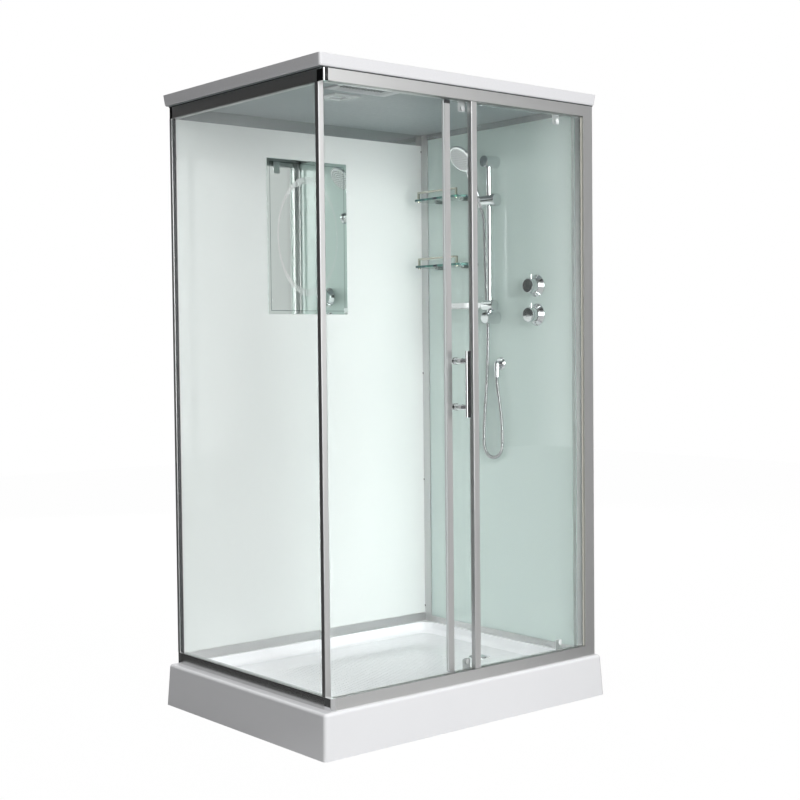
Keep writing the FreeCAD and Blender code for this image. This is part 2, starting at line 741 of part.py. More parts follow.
def make_feet():
    top = frame_top - d.tube_size
    feet = []
    for row in (-1, 1):
        for column in (-1, 0, 1):
            foot = new_body("levelling_foot")
            turn(foot, "XZ_Plane", [
                (ZERO, ZERO),
                (d.foot_radius, ZERO),
                (d.foot_radius, d.foot_rim),
                (d.stud_radius * 1.6, d.foot_height),
                (d.stud_radius, d.foot_height),
                (d.stud_radius, top - d.nut_height),
                (d.nut_radius, top - d.nut_height),
                (d.nut_radius, top),
                (ZERO, top),
            ], "V_Axis")
            feet.append(place(foot, cross_x * column, tube_spacing / 2 * row))
    group("levelling_feet", feet)


# Aluminium frame: rails, posts and corner caps.

left_rail_inner = left_face + d.rail_depth
left_rail_start = front_face + d.cap_depth
left_rail_end = back_face - d.back_cap_depth
front_rail_start = left_face + d.cap_width


def make_left_rails():
    length = left_rail_end - left_rail_start
    rails = (("left_bottom_rail", rim, bottom_rail_top), ("left_top_rail", roof_line, top_rail_foot))
    for label, back, mouth in rails:
        body = new_body(label)
        sketch = sketch_on(body, "XZ_Plane")
        outline(sketch, channel(left_face, left_rail_inner, back, mouth, left_pane, d.glass_bite))
        outline(sketch, chamber(left_face, left_rail_inner, back, mouth, d.glass_bite))
        pad(body, sketch, length, reverse=True)
        fillet(body, d.profile_round, lambda middle, box: on_line(middle, left_face, mouth))
        node(place(body, ZERO, left_rail_start), label)


def on_line(middle, across, up):
    """True for an edge that runs front to back through this place."""
    return close(middle.x, across.value) and close(middle.z, up.value)


def along_front(middle, across, up):
    """True for an edge that runs along the front through this place."""
    return close(middle.y, across.value) and close(middle.z, up.value)


def make_front_rails():
    """Both carry the fixed pane in a channel; behind it a bead guides the rollers of the door."""
    length = right_post_left - front_rail_start
    bead_front = roller_plane - d.bead_width / 2
    bead_back = roller_plane + d.bead_width / 2
    slot_front = fixed_pane - half_slot
    slot_back = fixed_pane + half_slot
    shelf = rim + d.shelf_thickness
    lip_front = track_back - d.profile_wall
    bottom = [
        (front_face, rim),
        (track_back, rim),
        (track_back, shelf + d.bead_height),
        (lip_front, shelf + d.bead_height),
        (lip_front, shelf),
        (bead_back, shelf),
        (bead_back, shelf + d.bead_height),
        (bead_front, shelf + d.bead_height),
        (bead_front, shelf),
        (box_back, shelf),
        (box_back, bottom_rail_top),
        (slot_back, bottom_rail_top),
        (slot_back, bottom_rail_top - d.glass_bite),
        (slot_front, bottom_rail_top - d.glass_bite),
        (slot_front, bottom_rail_top),
        (front_face, bottom_rail_top),
    ]
    foot = top_rail_foot
    lip = foot + d.lip_thickness
    flange = roof_line - d.shelf_thickness
    top = [
        (front_face, roof_line),
        (front_face, foot),
        (slot_front, foot),
        (slot_front, foot + d.glass_bite),
        (slot_back, foot + d.glass_bite),
        (slot_back, foot),
        (bead_back, foot),
        (bead_back, lip + d.bead_height),
        (bead_front, lip + d.bead_height),
        (bead_front, lip),
        (box_back, lip),
        (box_back, flange),
        (lip_front, flange),
        (lip_front, flange - d.shelf_thickness * 2),
        (track_back, flange - d.shelf_thickness * 2),
        (track_back, roof_line),
    ]
    rails = (
        ("front_bottom_rail", bottom, rim, bottom_rail_top),
        ("front_top_rail", top, roof_line, top_rail_foot),
    )
    for label, corners, back, mouth in rails:
        body = new_body(label)
        sketch = outline(sketch_on(body, "YZ_Plane"), corners)
        outline(sketch, chamber(front_face, box_back, back, mouth, d.glass_bite))
        pad(body, sketch, length)
        fillet(body, d.profile_round, lambda middle, box: along_front(middle, front_face, mouth))
        notch = rectangle(ZERO, d.rail_depth - d.cap_width, box_back, track_back + 1)
        pocket(body, outline(sketch_on(body, "XY_Plane"), notch), reverse=True)
        node(place(body, front_rail_start), label)


def make_wall_rails():
    back_rails = (("back_bottom_rail", rim, back_rail_top), ("back_top_rail", roof_line, top_rail_foot))
    for label, back, mouth in back_rails:
        body = new_body(label)
        sketch = sketch_on(body, "YZ_Plane")
        outline(sketch, channel(back_rail_front, back_face, back, mouth, back_pane, d.glass_bite))
        outline(sketch, chamber(back_rail_front, back_face, back, mouth, d.glass_bite))
        pad(body, sketch, right_post_inner - left_post_inner)
        node(place(body, left_post_inner), label)
    outer = right_pane + wall_half
    side_rails = (("right_bottom_rail", rim, side_rail_top), ("right_top_rail", roof_line, side_rail_foot))
    for label, back, mouth in side_rails:
        body = new_body(label)
        sketch = sketch_on(body, "XZ_Plane")
        outline(sketch, channel(right_post_inner, outer, back, mouth, right_pane, d.glass_bite))
        outline(sketch, chamber(right_post_inner, outer, back, mouth, d.glass_bite))
        pad(body, sketch, corner_front - wing_back, reverse=True)
        node(place(body, ZERO, wing_back), label)


def upright_at(across, along):
    """Test for an upright edge at one place in plan."""
    def test(middle, box):
        return is_upright(box) and close(middle.x, across.value) and close(middle.y, along.value)
    return test


def make_left_posts():
    height = top_rail_foot - bottom_rail_top
    front = front_face + d.post_setback
    post = new_body("front_left_post")
    sketch = sketch_on(post, "XY_Plane")
    outline(sketch, channel(left_face, left_post_inner, front, front_post_back, left_pane, d.post_bite))
    pad(post, sketch, height)
    fillet(post, d.profile_round, upright_at(left_face, front))
    fillet(post, d.profile_round, upright_at(left_post_inner, front))
    node(place(post, ZERO, ZERO, bottom_rail_top), "front_left_post")

    post = new_body("back_left_post")
    bite = d.post_bite
    inner = left_post_inner
    pad(post, outline(sketch_on(post, "XY_Plane"), [
        (left_face, back_rail_front),
        (left_pane - half_slot, back_rail_front),
        (left_pane - half_slot, back_rail_front + bite),
        (left_pane + half_slot, back_rail_front + bite),
        (left_pane + half_slot, back_rail_front),
        (inner, back_rail_front),
        (inner, back_pane - half_slot),
        (inner - bite, back_pane - half_slot),
        (inner - bite, back_pane + half_slot),
        (inner, back_pane + half_slot),
        (inner, back_face),
        (left_face, back_face),
    ]), height)
    fillet(post, d.profile_round, upright_at(left_face, back_face))
    node(place(post, ZERO, ZERO, bottom_rail_top), "back_left_post")


def make_right_posts():
    bite = d.post_bite
    wall = d.profile_wall
    slot_left = right_pane - half_slot
    slot_right = right_pane + half_slot
    post = new_body("back_right_post")
    sketch = outline(sketch_on(post, "XY_Plane"), [
        (right_post_inner, corner_front),
        (slot_left, corner_front),
        (slot_left, corner_front + bite),
        (slot_right, corner_front + bite),
        (slot_right, corner_front),
        (right_face, corner_front),
        (right_face, back_face),
        (right_post_inner, back_face),
        (right_post_inner, back_pane + half_slot),
        (right_post_inner + bite, back_pane + half_slot),
        (right_post_inner + bite, back_pane - half_slot),
        (right_post_inner, back_pane - half_slot),
    ])
    outline(sketch, rectangle(slot_right + wall, right_face - wall, corner_front + wall, back_face - wall))
    pad(post, sketch, d.frame_height)
    node(place(post, ZERO, ZERO, rim), "back_right_post")

    post = new_body("front_right_post")
    step = front_face + d.post_setback
    sketch = outline(sketch_on(post, "XY_Plane"), [
        (right_post_left, front_face),
        (right_face, front_face),
        (right_face, wing_back),
        (slot_right, wing_back),
        (slot_right, wing_back - bite),
        (slot_left, wing_back - bite),
        (slot_left, wing_back),
        (right_post_inner, wing_back),
        (right_post_inner, step),
        (right_post_left, step),
        (right_post_left, fixed_pane + half_slot),
        (right_post_left + bite, fixed_pane + half_slot),
        (right_post_left + bite, fixed_pane - half_slot),
        (right_post_left, fixed_pane - half_slot),
    ])
    outline(sketch, rectangle(right_post_left + bite + wall, right_face - wall, front_face + wall, step - wall))
    pad(post, sketch, d.frame_height)
    fillet(post, d.profile_round, upright_at(right_face, front_face))
    node(place(post, ZERO, ZERO, rim), "front_right_post")


def make_corner_caps():
    """Caps that join the rails at the two left corners; the back ones take the ends of two panes."""
    caps = []
    deep = d.bottom_rail_height - d.back_rail_height + d.glass_bite
    levels = (
        (rim, d.bottom_rail_height, d.bottom_rail_height, deep, False),
        (top_rail_foot, d.top_rail_height, ZERO, d.glass_bite, True),
    )
    for foot, height, mouth, depth, upward in levels:
        cap = new_body("front_cap")
        plan = rectangle(left_face, front_rail_start, front_face, left_rail_start)
        pad(cap, outline(sketch_on(cap, "XY_Plane"), plan), height)
        fillet(cap, d.cap_round, upright_at(left_face, front_face))
        caps.append(place(cap, ZERO, ZERO, foot))

        cap = new_body("back_cap")
        plan = rectangle(left_face, left_post_inner, left_rail_end, back_face)
        pad(cap, outline(sketch_on(cap, "XY_Plane"), plan), height)
        fillet(cap, d.cap_round, upright_at(left_face, back_face))
        slots = sketch_on(cap, "XY_Plane", mouth)
        outline(slots, rectangle(
            left_pane - half_slot, left_pane + half_slot, left_rail_end - 1, back_rail_front + d.post_bite))
        outline(slots, rectangle(
            left_post_inner - d.post_bite, left_post_inner + 1, back_pane - half_slot, back_pane + half_slot))
        pocket(cap, slots, depth, reverse=upward)
        caps.append(place(cap, ZERO, ZERO, foot))
    group("corner_caps", caps)


# Panes.

def make_left_glass():
    pane = new_body("left_glass")
    front = front_post_back - d.post_bite + d.edge_clearance
    back = back_rail_front + d.post_bite - d.edge_clearance
    foot = bottom_rail_top - d.glass_bite
    top = top_rail_foot + d.glass_bite - d.edge_clearance
    pad(pane, outline(sketch_on(pane, "YZ_Plane"), rectangle(front, back, foot, top)), d.glass_thickness)
    node(place(pane, left_pane - half_glass), "left_glass")


fixed_left = right_post_left - fixed_panel_width
fixed_profile_right = fixed_left + d.fixed_profile_width


def make_fixed_panel():
    """The fixed pane and the profile on its free edge."""
    pane = new_body("fixed_glass")
    left = fixed_profile_right - d.post_bite
    right = right_post_left + d.post_bite - d.edge_clearance
    foot = bottom_rail_top - d.glass_bite
    top = top_rail_foot + d.glass_bite - d.edge_clearance
    sketch = outline(sketch_on(pane, "XZ_Plane"), rectangle(left, right, foot, top))
    pad(pane, sketch, d.glass_thickness, reverse=True)
    node(place(pane, ZERO, fixed_pane - half_glass), "fixed_glass")

    profile = new_body("fixed_profile")
    half = d.fixed_profile_depth / 2
    section = (fixed_pane - half, fixed_pane + half, fixed_left, fixed_profile_right)
    sketch = outline(sketch_on(profile, "XY_Plane"), swapped(channel(*section, fixed_pane, d.post_bite)))
    outline(sketch, swapped(chamber(*section, d.post_bite)))
    pad(profile, sketch, top_rail_foot - bottom_rail_top)
    fillet(profile, d.profile_round, upright_at(fixed_left, fixed_pane - half))
    node(place(profile, ZERO, ZERO, bottom_rail_top), "fixed_profile")


def make_back_wall():
    pane = new_body("back_wall_glass")
    left = left_post_inner - d.post_bite + d.edge_clearance
    right = right_post_inner + d.post_bite - d.edge_clearance
    foot = back_rail_top - d.glass_bite
    top = top_rail_foot + d.glass_bite - d.edge_clearance
    sketch = outline(sketch_on(pane, "XZ_Plane"), rectangle(left, right, foot, top))
    pad(pane, sketch, d.glass_thickness, reverse=True)
    node(place(pane, ZERO, back_wall), "back_wall_glass")


def make_right_wall():
    """The pane has a hole for every fitting that it carries."""
    pane = new_body("right_wall_glass")
    front = wing_back - d.post_bite + d.edge_clearance
    back = corner_front + d.post_bite - d.edge_clearance
    foot = side_rail_top - d.glass_bite
    top = side_rail_foot + d.glass_bite - d.edge_clearance
    sketch = outline(sketch_on(pane, "YZ_Plane"), rectangle(front, back, foot, top))
    stud_hole = d.bolt_radius + d.hole_clearance
    circle(sketch, d.riser_y, riser_top, stud_hole)
    circle(sketch, d.riser_y, riser_foot, stud_hole)
    circle(sketch, ZERO, elbow_height, d.inlet_radius + d.hole_clearance)
    for height in (upper_valve, lower_valve):
        circle(sketch, d.valve_y, height, d.valve_hole)
    for shelf in (upper_shelf, lower_shelf):
        for side in (-1, 1):
            circle(sketch, shelf_y + d.clip_spacing / 2 * side, shelf - d.shelf_pane / 2, stud_hole)
    pad(pane, sketch, d.glass_thickness)
    node(place(pane, right_wall), "right_wall_glass")


# Sliding door with its handle and rollers.

door_profile_left = door_left + d.door_seal_width
door_profile_right = door_profile_left + d.door_profile_width
roller_xs = (door_left + d.roller_inset, door_right - d.roller_inset)
bolt_hole = d.bolt_radius + d.hole_clearance


def make_door():
    pane = new_body("door_glass")
    left = door_profile_right - d.post_bite
    right = door_right - d.trailing_seal_back
    sketch = outline(sketch_on(pane, "XZ_Plane"), rectangle(left, right, door_foot, door_top))
    for roller_x in roller_xs:
        circle(sketch, roller_x, lower_axle + d.bolt_rise, bolt_hole)
        circle(sketch, roller_x, upper_axle - d.bolt_rise, bolt_hole)
    for side in (-1, 1):
        circle(sketch, handle_x, handle_height + d.handle_spacing / 2 * side, bolt_hole)
    pad(pane, sketch, d.glass_thickness, reverse=True)
    node(place(pane, ZERO, door_front), "door_glass")

    height = door_top - door_foot
    profile = new_body("door_profile")
    half = d.door_profile_depth / 2
    section = (door_pane - half, door_pane + half, door_profile_left, door_profile_right)
    sketch = outline(sketch_on(profile, "XY_Plane"), swapped(channel(*section, door_pane, d.post_bite)))
    outline(sketch, swapped(chamber(*section, d.post_bite)))
    pad(profile, sketch, height)
    node(place(profile, ZERO, ZERO, door_foot), "door_profile")

    seal = new_body("door_seal")
    half = d.door_seal_depth / 2
    plan = rectangle(door_left, door_profile_left, door_pane - half, door_pane + half)
    seal_foot = bottom_rail_top + d.door_drop
    pad(seal, outline(sketch_on(seal, "XY_Plane"), plan), door_top - seal_foot)
    fillet(seal, d.trailing_seal_wall, lambda middle, box: is_upright(box) and close(middle.x, door_left.value))
    node(place(seal, ZERO, ZERO, seal_foot), "door_seal")

    seal = new_body("door_trailing_seal")
    half = half_slot + d.trailing_seal_wall
    section = (door_pane - half, door_pane + half, door_right, door_right - d.trailing_seal_width)
    bite = d.trailing_seal_width - d.trailing_seal_back
    pad(seal, outline(sketch_on(seal, "XY_Plane"), swapped(channel(*section, door_pane, bite))), height)
    node(place(seal, ZERO, ZERO, door_foot), "door_trailing_seal")


def make_handle():
    bar = new_body("handle_bar")
    half = d.handle_width / 2
    back = door_front - d.handle_standoff
    plan = rectangle(handle_x - half, handle_x + half, back - d.handle_thickness, back)
    pad(bar, outline(sketch_on(bar, "XY_Plane"), plan), d.handle_length)
    fillet(bar, d.handle_round, lambda middle, box: is_upright(box))
    node(place(bar, ZERO, ZERO, handle_height - d.handle_length / 2), "handle_bar")

    mounts = []
    inside = d.glass_thickness
    for side in (-1, 1):
        mount = new_body("handle_mount")
        turn(mount, "YZ_Plane", [
            (-d.handle_standoff, ZERO),
            (-d.handle_standoff, d.handle_neck),
            (-d.handle_boss_length, d.handle_boss),
            (-d.handle_washer_height, d.handle_boss),
            (-d.handle_washer_height, d.handle_washer),
            (ZERO, d.handle_washer),
            (ZERO, d.bolt_radius),
            (inside, d.bolt_radius),
            (inside, d.handle_washer),
            (inside + d.handle_cap - d.soft_edge, d.handle_washer),
            (inside + d.handle_cap, d.handle_washer - d.soft_edge),
            (inside + d.handle_cap, ZERO),
        ], "H_Axis")
        height = handle_height + d.handle_spacing / 2 * side
        mounts.append(place(mount, handle_x, door_front, height))
    group("handle_mounts", mounts)


def make_rollers():
    """Each bracket is bolted through the pane and carries a roller past the pane's edge."""
    axle_length = door_back - roller_plane + d.roller_width / 2 + 0.5
    brackets = []
    levels = (("lower", lower_axle, 1), ("upper", upper_axle, -1))
    sides = (("left", roller_xs[0]), ("right", roller_xs[1]))
    for level, axle, rise in levels:
        for side, roller_x in sides:
            bracket = new_body("roller_bracket")
            half = d.bracket_width / 2
            end = d.roller_radius * -rise
            plate = rectangle(-half, half, end, d.bracket_reach * rise)
            sketch = outline(sketch_on(bracket, "XZ_Plane"), plate)
            pad(bracket, sketch, d.bracket_thickness, reverse=True)
            fillet(bracket, d.bracket_thickness * 2, lambda middle, box: box.YLength > box.XLength + box.ZLength)
            pad(bracket, circle(sketch_on(bracket, "XZ_Plane"), 0, 0, d.axle_radius), axle_length)
            bolt_z = d.bolt_rise * rise
            pad(bracket, circle(sketch_on(bracket, "XZ_Plane"), 0, bolt_z, d.bolt_radius), d.glass_thickness)
            cap = circle(sketch_on(bracket, "XZ_Plane", d.glass_thickness), 0, bolt_z, d.bolt_cap)
            pad(bracket, cap, d.bolt_cap_height)
            brackets.append(place(bracket, roller_x, door_back, axle))

            label = "roller_%s_%s" % (level, side)
            roller = new_body(label)
            half_width = d.roller_width / 2
            half_groove = d.groove_width / 2
            bore = d.axle_radius + d.running_clearance
            turn(roller, "YZ_Plane", [
                (-half_width, bore),
                (-half_width, d.roller_radius),
                (-half_groove, d.roller_radius),
                (-half_groove, groove_radius),
                (half_groove, groove_radius),
                (half_groove, d.roller_radius),
                (half_width, d.roller_radius),
                (half_width, bore),
            ], "H_Axis")
            node(place(roller, roller_x, roller_plane, axle), label)
    group("roller_brackets", brackets)


# Mirror and shelves.

def make_mirror():
    mirror = new_body("wall_mirror")
    half_width = d.mirror_width / 2
    half_height = d.mirror_height / 2
    face = rectangle(-half_width, half_width, -half_height, half_height)
    pad(mirror, outline(sketch_on(mirror, "XZ_Plane"), face), d.mirror_thickness, reverse=True)
    chamfer(mirror, d.mirror_bevel, lambda middle, box: close(box.YMax, 0))
    node(place(mirror, ZERO, back_wall - d.mirror_thickness, mirror_middle), "wall_mirror")


def make_shelves():
    inner = right_wall - d.shelf_gap
    outer = inner - d.shelf_reach
    rail_x = outer + d.gallery_edge
    half = shelf_length / 2
    stud_hole = d.gallery_stud + d.hole_clearance
    reach = half - d.gallery_inset
    panes = []
    galleries = []
    clips = []
    for top in (upper_shelf, lower_shelf):
        pane = new_body("shelf_glass")
        plan = rectangle(outer, inner, shelf_y - half, shelf_y + half)
        sketch = outline(sketch_on(pane, "XY_Plane"), plan)
        for side in (-1, 1):
            circle(sketch, rail_x, shelf_y + reach * side, stud_hole)
        pad(pane, sketch, d.shelf_pane)
        fillet(pane, d.shelf_corner, lambda middle, box: is_upright(box) and close(middle.x, outer.value))
        panes.append(place(pane, ZERO, ZERO, top - d.shelf_pane))

        gallery = new_body("gallery_rail")
        bar = d.gallery_bar
        wide = reach + bar / 2
        height = d.gallery_height
        section = outline(sketch_on(gallery, "YZ_Plane"), [
            (-wide, ZERO),
            (-wide, height),
            (wide, height),
            (wide, ZERO),
            (wide - bar, ZERO),
            (wide - bar, height - bar),
            (bar - wide, height - bar),
            (bar - wide, ZERO),
        ])
        pad(gallery, section, bar)
        fillet(gallery, d.gallery_round, lambda middle, box: close(abs(middle.y), wide.value)
               and close(middle.z, height.value))
        for side in (-1, 1):
            stud = circle(sketch_on(gallery, "XY_Plane"), bar / 2, reach * side, d.gallery_stud)
            pad(gallery, stud, d.shelf_pane, reverse=True)
            nut = circle(sketch_on(gallery, "XY_Plane", -d.shelf_pane), bar / 2, reach * side, d.gallery_nut)
            pad(gallery, nut, d.gallery_nut_height, reverse=True)
        galleries.append(place(gallery, rail_x - bar / 2, shelf_y, top))

        for side in (-1, 1):
            clip = new_body("shelf_clip")
            pad(clip, circle(sketch_on(clip, "YZ_Plane"), 0, 0, d.clip_radius), d.clip_length)
            mouth = rectangle(-d.clip_length, d.clip_length - d.shelf_gap, -d.shelf_pane / 2, d.shelf_pane / 2)
            pocket(clip, outline(sketch_on(clip, "XZ_Plane", d.clip_radius), mouth))
            stud = circle(sketch_on(clip, "YZ_Plane", d.clip_length), 0, 0, d.bolt_radius)
            pad(clip, stud, d.glass_thickness)
            nut = circle(sketch_on(clip, "YZ_Plane", d.clip_length + d.glass_thickness), 0, 0, d.wall_nut)
            pad(clip, nut, d.wall_nut_height)
            clip_y = shelf_y + d.clip_spacing / 2 * side
            clips.append(place(clip, right_wall - d.clip_length, clip_y, top - d.shelf_pane / 2))
    group("shelf_glasses", panes)
    group("shelf_rails", galleries)
    group("shelf_clips", clips)


# Riser rail, hand shower, hose and soap dish.

def make_riser():
    rail = new_body("riser_rail")
    foot = riser_foot - d.riser_entry
    pad(rail, circle(sketch_on(rail, "XY_Plane"), 0, 0, d.riser_radius), riser_top + d.riser_entry - foot)
    node(place(rail, riser_x, d.riser_y, foot), "riser_rail")

    brackets = []
    inside = d.glass_thickness
    for height, rise in ((riser_foot, -1), (riser_top, 1)):
        bracket = new_body("riser_bracket")
        turn(bracket, "XZ_Plane", [
            (-d.wall_bracket_length, ZERO),
            (-d.wall_bracket_length, d.wall_bracket_end - d.soft_edge),
            (d.soft_edge - d.wall_bracket_length, d.wall_bracket_end),
            (-d.soft_edge, d.wall_bracket_base),
            (ZERO, d.wall_bracket_base - d.soft_edge),
            (ZERO, d.bolt_radius),
            (inside, d.bolt_radius),
            (inside, d.wall_nut),
            (inside + d.wall_nut_height, d.wall_nut),
            (inside + d.wall_nut_height, ZERO),
        ], "H_Axis")
        bore = circle(sketch_on(bracket, "XY_Plane", d.riser_entry * rise), -d.riser_standoff, 0,
                      d.riser_radius + d.running_clearance)
        pocket(bracket, bore, reverse=(rise < 0))
        brackets.append(place(bracket, right_wall, d.riser_y, height))
    group("riser_brackets", brackets)


def slider_barrel(name):
    """Barrel across the riser rail, bored for the rail and for the stud of its clamp knob."""
    barrel = new_body(name)
    turn(barrel, "YZ_Plane", [
        (-d.slider_front, ZERO),
        (-d.slider_front, d.slider_radius - d.soft_edge),
        (d.soft_edge - d.slider_front, d.slider_radius),
        (d.slider_back - d.soft_edge, d.slider_radius),
        (d.slider_back, d.slider_radius - d.soft_edge),
        (d.slider_back, ZERO),
    ], "H_Axis")
    rail = circle(sketch_on(barrel, "XY_Plane", -d.slider_radius * 2), 0, 0, d.riser_radius + d.slider_clearance)
    pocket(barrel, rail, reverse=True)
    return barrel


def make_slider():
    barrel = slider_barrel("slider_body")
    pivot = circle(sketch_on(barrel, "XZ_Plane", -d.slider_back), 0, 0, d.pivot_radius + d.running_clearance)
    pocket(barrel, pivot, d.pivot_length + 0.5, reverse=True)
    stud = circle(sketch_on(barrel, "XZ_Plane", d.slider_front), 0, 0, d.clamp_stud + d.running_clearance)
    pocket(barrel, stud, d.clamp_depth + 0.5)
    node(place(barrel, riser_x, d.riser_y, slider_height), "slider_body")

    knob = new_body("slider_knob")
    back = -d.slider_front - d.clamp_gap
    front = back - d.clamp_length
    turn(knob, "YZ_Plane", [
        (front, ZERO),
        (front, d.clamp_radius - d.soft_edge),
        (front + d.soft_edge, d.clamp_radius),
        (back - d.soft_edge, d.clamp_radius),
        (back, d.clamp_radius - d.soft_edge),
        (back, d.clamp_stud),
        (back + d.clamp_gap + d.clamp_depth, d.clamp_stud),
        (back + d.clamp_gap + d.clamp_depth, ZERO),
    ], "H_Axis")
    node(place(knob, riser_x, d.riser_y, slider_height), "slider_knob")


half_holder = d.holder_height / 2
lean = FreeCAD.Rotation(Vector(0, -1, 0), d.holder_tilt.value)


def leaning(thing, up=ZERO, out=ZERO, extra=ZERO):
    """Place a piece of the hand shower in the leaning frame of the holder."""
    angle = math.radians(d.holder_tilt.value)
    thing.Placement.Rotation = FreeCAD.Rotation(Vector(0, -1, 0), d.holder_tilt.value + extra.value)
    along = up * math.cos(angle) - out * math.sin(angle)
    across = up * math.sin(angle) + out * math.cos(angle)
    return place(thing, riser_x - across, holder_y, slider_height + along)


def make_hand_shower():
    holder = new_body("shower_holder")
    bore_top = d.nut_top + d.socket_clearance
    bore_foot = d.nut_foot + d.socket_clearance
    turn(holder, "XZ_Plane", [
        (bore_foot, -half_holder),
        (d.holder_radius - d.soft_edge, -half_holder),
        (d.holder_radius, half_holder - d.soft_edge),
        (d.holder_radius - d.soft_edge, half_holder),
        (bore_top, half_holder),
    ], "V_Axis")
    half_slot_width = d.holder_slot / 2
    slot = rectangle(-d.holder_radius * 2, ZERO, -half_slot_width, half_slot_width)
    pocket(holder, outline(sketch_on(holder, "XY_Plane", -d.holder_height), slot), reverse=True)
    start = bore_top + 1
    reach = d.holder_offset - d.slider_back + d.pivot_length
    pad(holder, circle(sketch_on(holder, "XZ_Plane", start), 0, 0, d.pivot_radius), reach - start)
    node(leaning(holder), "shower_holder")

    grip = new_body("hand_shower_grip")
    top = half_holder + d.grip_length
    turn(grip, "XZ_Plane", [
        (ZERO, -d.nut_drop),
        (d.hose_radius + d.soft_edge, -d.nut_drop),
        (d.nut_foot, d.soft_edge * 2 - d.nut_drop),
        (d.nut_foot, -half_holder),
        (d.nut_top, half_holder),
        (d.grip_radius - d.soft_edge, half_holder + d.soft_edge * 3),
        (d.grip_radius + d.soft_edge, half_holder + d.grip_length / 2),
        (d.grip_radius, top),
        (ZERO, top),
    ], "V_Axis")
    leaning(grip)

    head_up = top + d.head_rise
    front = -d.head_depth / 2
    wall = d.head_wall
    head = new_body("hand_shower_head")
    turn(head, "XZ_Plane", [
        (front, d.spray_radius - wall),
        (front, d.head_radius - d.soft_edge),
        (front + d.soft_edge, d.head_radius),
        (front + d.soft_edge * 3, d.head_radius),
        (d.soft_edge * 1.5, d.head_radius * 0.86),
        (d.head_depth / 2, d.head_radius * 0.5),
        (d.head_depth / 2 + d.soft_edge, ZERO),
        (d.head_depth / 2 + d.soft_edge - wall, ZERO),
        (d.head_depth / 2 - wall, d.head_radius * 0.5 - wall),
        (d.soft_edge * 1.5 - wall, d.head_radius * 0.86 - wall),
        (front + wall, d.spray_radius - wall),
    ], "H_Axis")
    leaning(head, head_up, d.head_offset, d.head_tilt)
    outside = doc.addObject("Part::MultiFuse", "hand_shower_outside")
    outside.Shapes = [grip, head]
    channel_length = top + d.nut_drop - wall
    waterway = doc.addObject("Part::Cylinder", "waterway")
    waterway.setExpression("Radius", (d.hose_radius - d.soft_edge).formula)
    waterway.setExpression("Height", channel_length.formula)
    leaning(waterway, -d.nut_drop)
    shower = doc.addObject("Part::Cut", "hand_shower")
    shower.Base = outside
    shower.Tool = waterway
    node(shower, "hand_shower")

    face = new_body("spray_face")
    turn(face, "XZ_Plane", [
        (front - d.spray_height, ZERO),
        (front - d.spray_height, d.spray_radius - d.soft_edge),
        (front, d.spray_radius),
        (front, ZERO),
    ], "H_Axis")
    node(leaning(face, head_up, d.head_offset, d.head_tilt), "spray_face")


def make_elbow():
    """Rosette, elbow and hose nut, with the inlet and its nut behind the wall."""
    elbow = new_body("wall_elbow")
    wall = d.elbow_standoff
    nut_face = wall + d.glass_thickness
    nut_end = nut_face + d.elbow_nut_height
    turn(elbow, "XZ_Plane", [
        (ZERO, ZERO),
        (ZERO, d.elbow_arm),
        (wall - d.rosette_height, d.elbow_arm),
        (wall - d.rosette_height, d.rosette_radius * 0.8),
        (wall - d.soft_edge, d.rosette_radius),
        (wall, d.rosette_radius),
        (wall, d.inlet_radius),
        (nut_face, d.inlet_radius),
        (nut_face, d.elbow_nut),
        (nut_end, d.elbow_nut),
        (nut_end, d.inlet_radius),
        (wall + d.inlet_length, d.inlet_radius),
        (wall + d.inlet_length, ZERO),
    ], "H_Axis")
    nut = d.hose_radius + d.soft_edge * 1.5
    turn(elbow, "XZ_Plane", [
        (ZERO, d.elbow_radius),
        (d.elbow_radius * 0.6, d.elbow_radius * 0.8),
        (d.elbow_radius, ZERO),
        (d.elbow_radius, -d.elbow_drop / 2),
        (nut, -d.elbow_drop / 2),
        (nut, -d.elbow_drop),
        (ZERO, -d.elbow_drop),
    ], "V_Axis")
    node(place(elbow, right_wall - wall, ZERO, elbow_height), "wall_elbow")


# Points of the hose between its two nuts: out from the wall face, along the wall from the elbow, and up from
# the hose's lower end. Heights above that end stretch with the height of the hand shower.
HOSE_POINTS = [
    (15, 67, 530),
    (15, 64, 418),
    (16, 58, 298),
    (16.5, 50, 183),
    (16.5, 53, 58),
    (16.5, 62, -57),
    (17, 72, -147),
    (17, 75, -212),
    (17, 75.5, -266),
    (17.3, 46.8, -295),
    (17.7, 6.2, -295),
    (18, -22.5, -266),
    (19, -24, -212),
    (20, -21, -147),
    (21, -11, -87),
]
HOSE_RISE = 613.25
HOSE_LEAD = 26


def tube_path(points):
    """Straight runs joined by the largest tangent arcs that fit, with the radii of the arcs."""
    edges = []
    radii = []
    start = points[0]
    for before, corner, after in zip(points, points[1:], points[2:]):
        back = (before - corner).normalize()
        ahead = (after - corner).normalize()
        turn_angle = math.pi - back.getAngle(ahead)
        run = 0.45 * min((before - corner).Length, (after - corner).Length)
        radius = run / math.tan(turn_angle / 2)
        enter = corner + back * run
        leave = corner + ahead * run
        toward = (back + ahead).normalize()
        middle = corner + toward * (radius / math.cos(turn_angle / 2) - radius)
        edges.append(Part.LineSegment(start, enter).toShape())
        edges.append(Part.Arc(enter, middle, leave).toShape())
        radii.append(radius)
        start = leave
    edges.append(Part.LineSegment(start, points[-1]).toShape())
    return Part.Wire(edges), radii


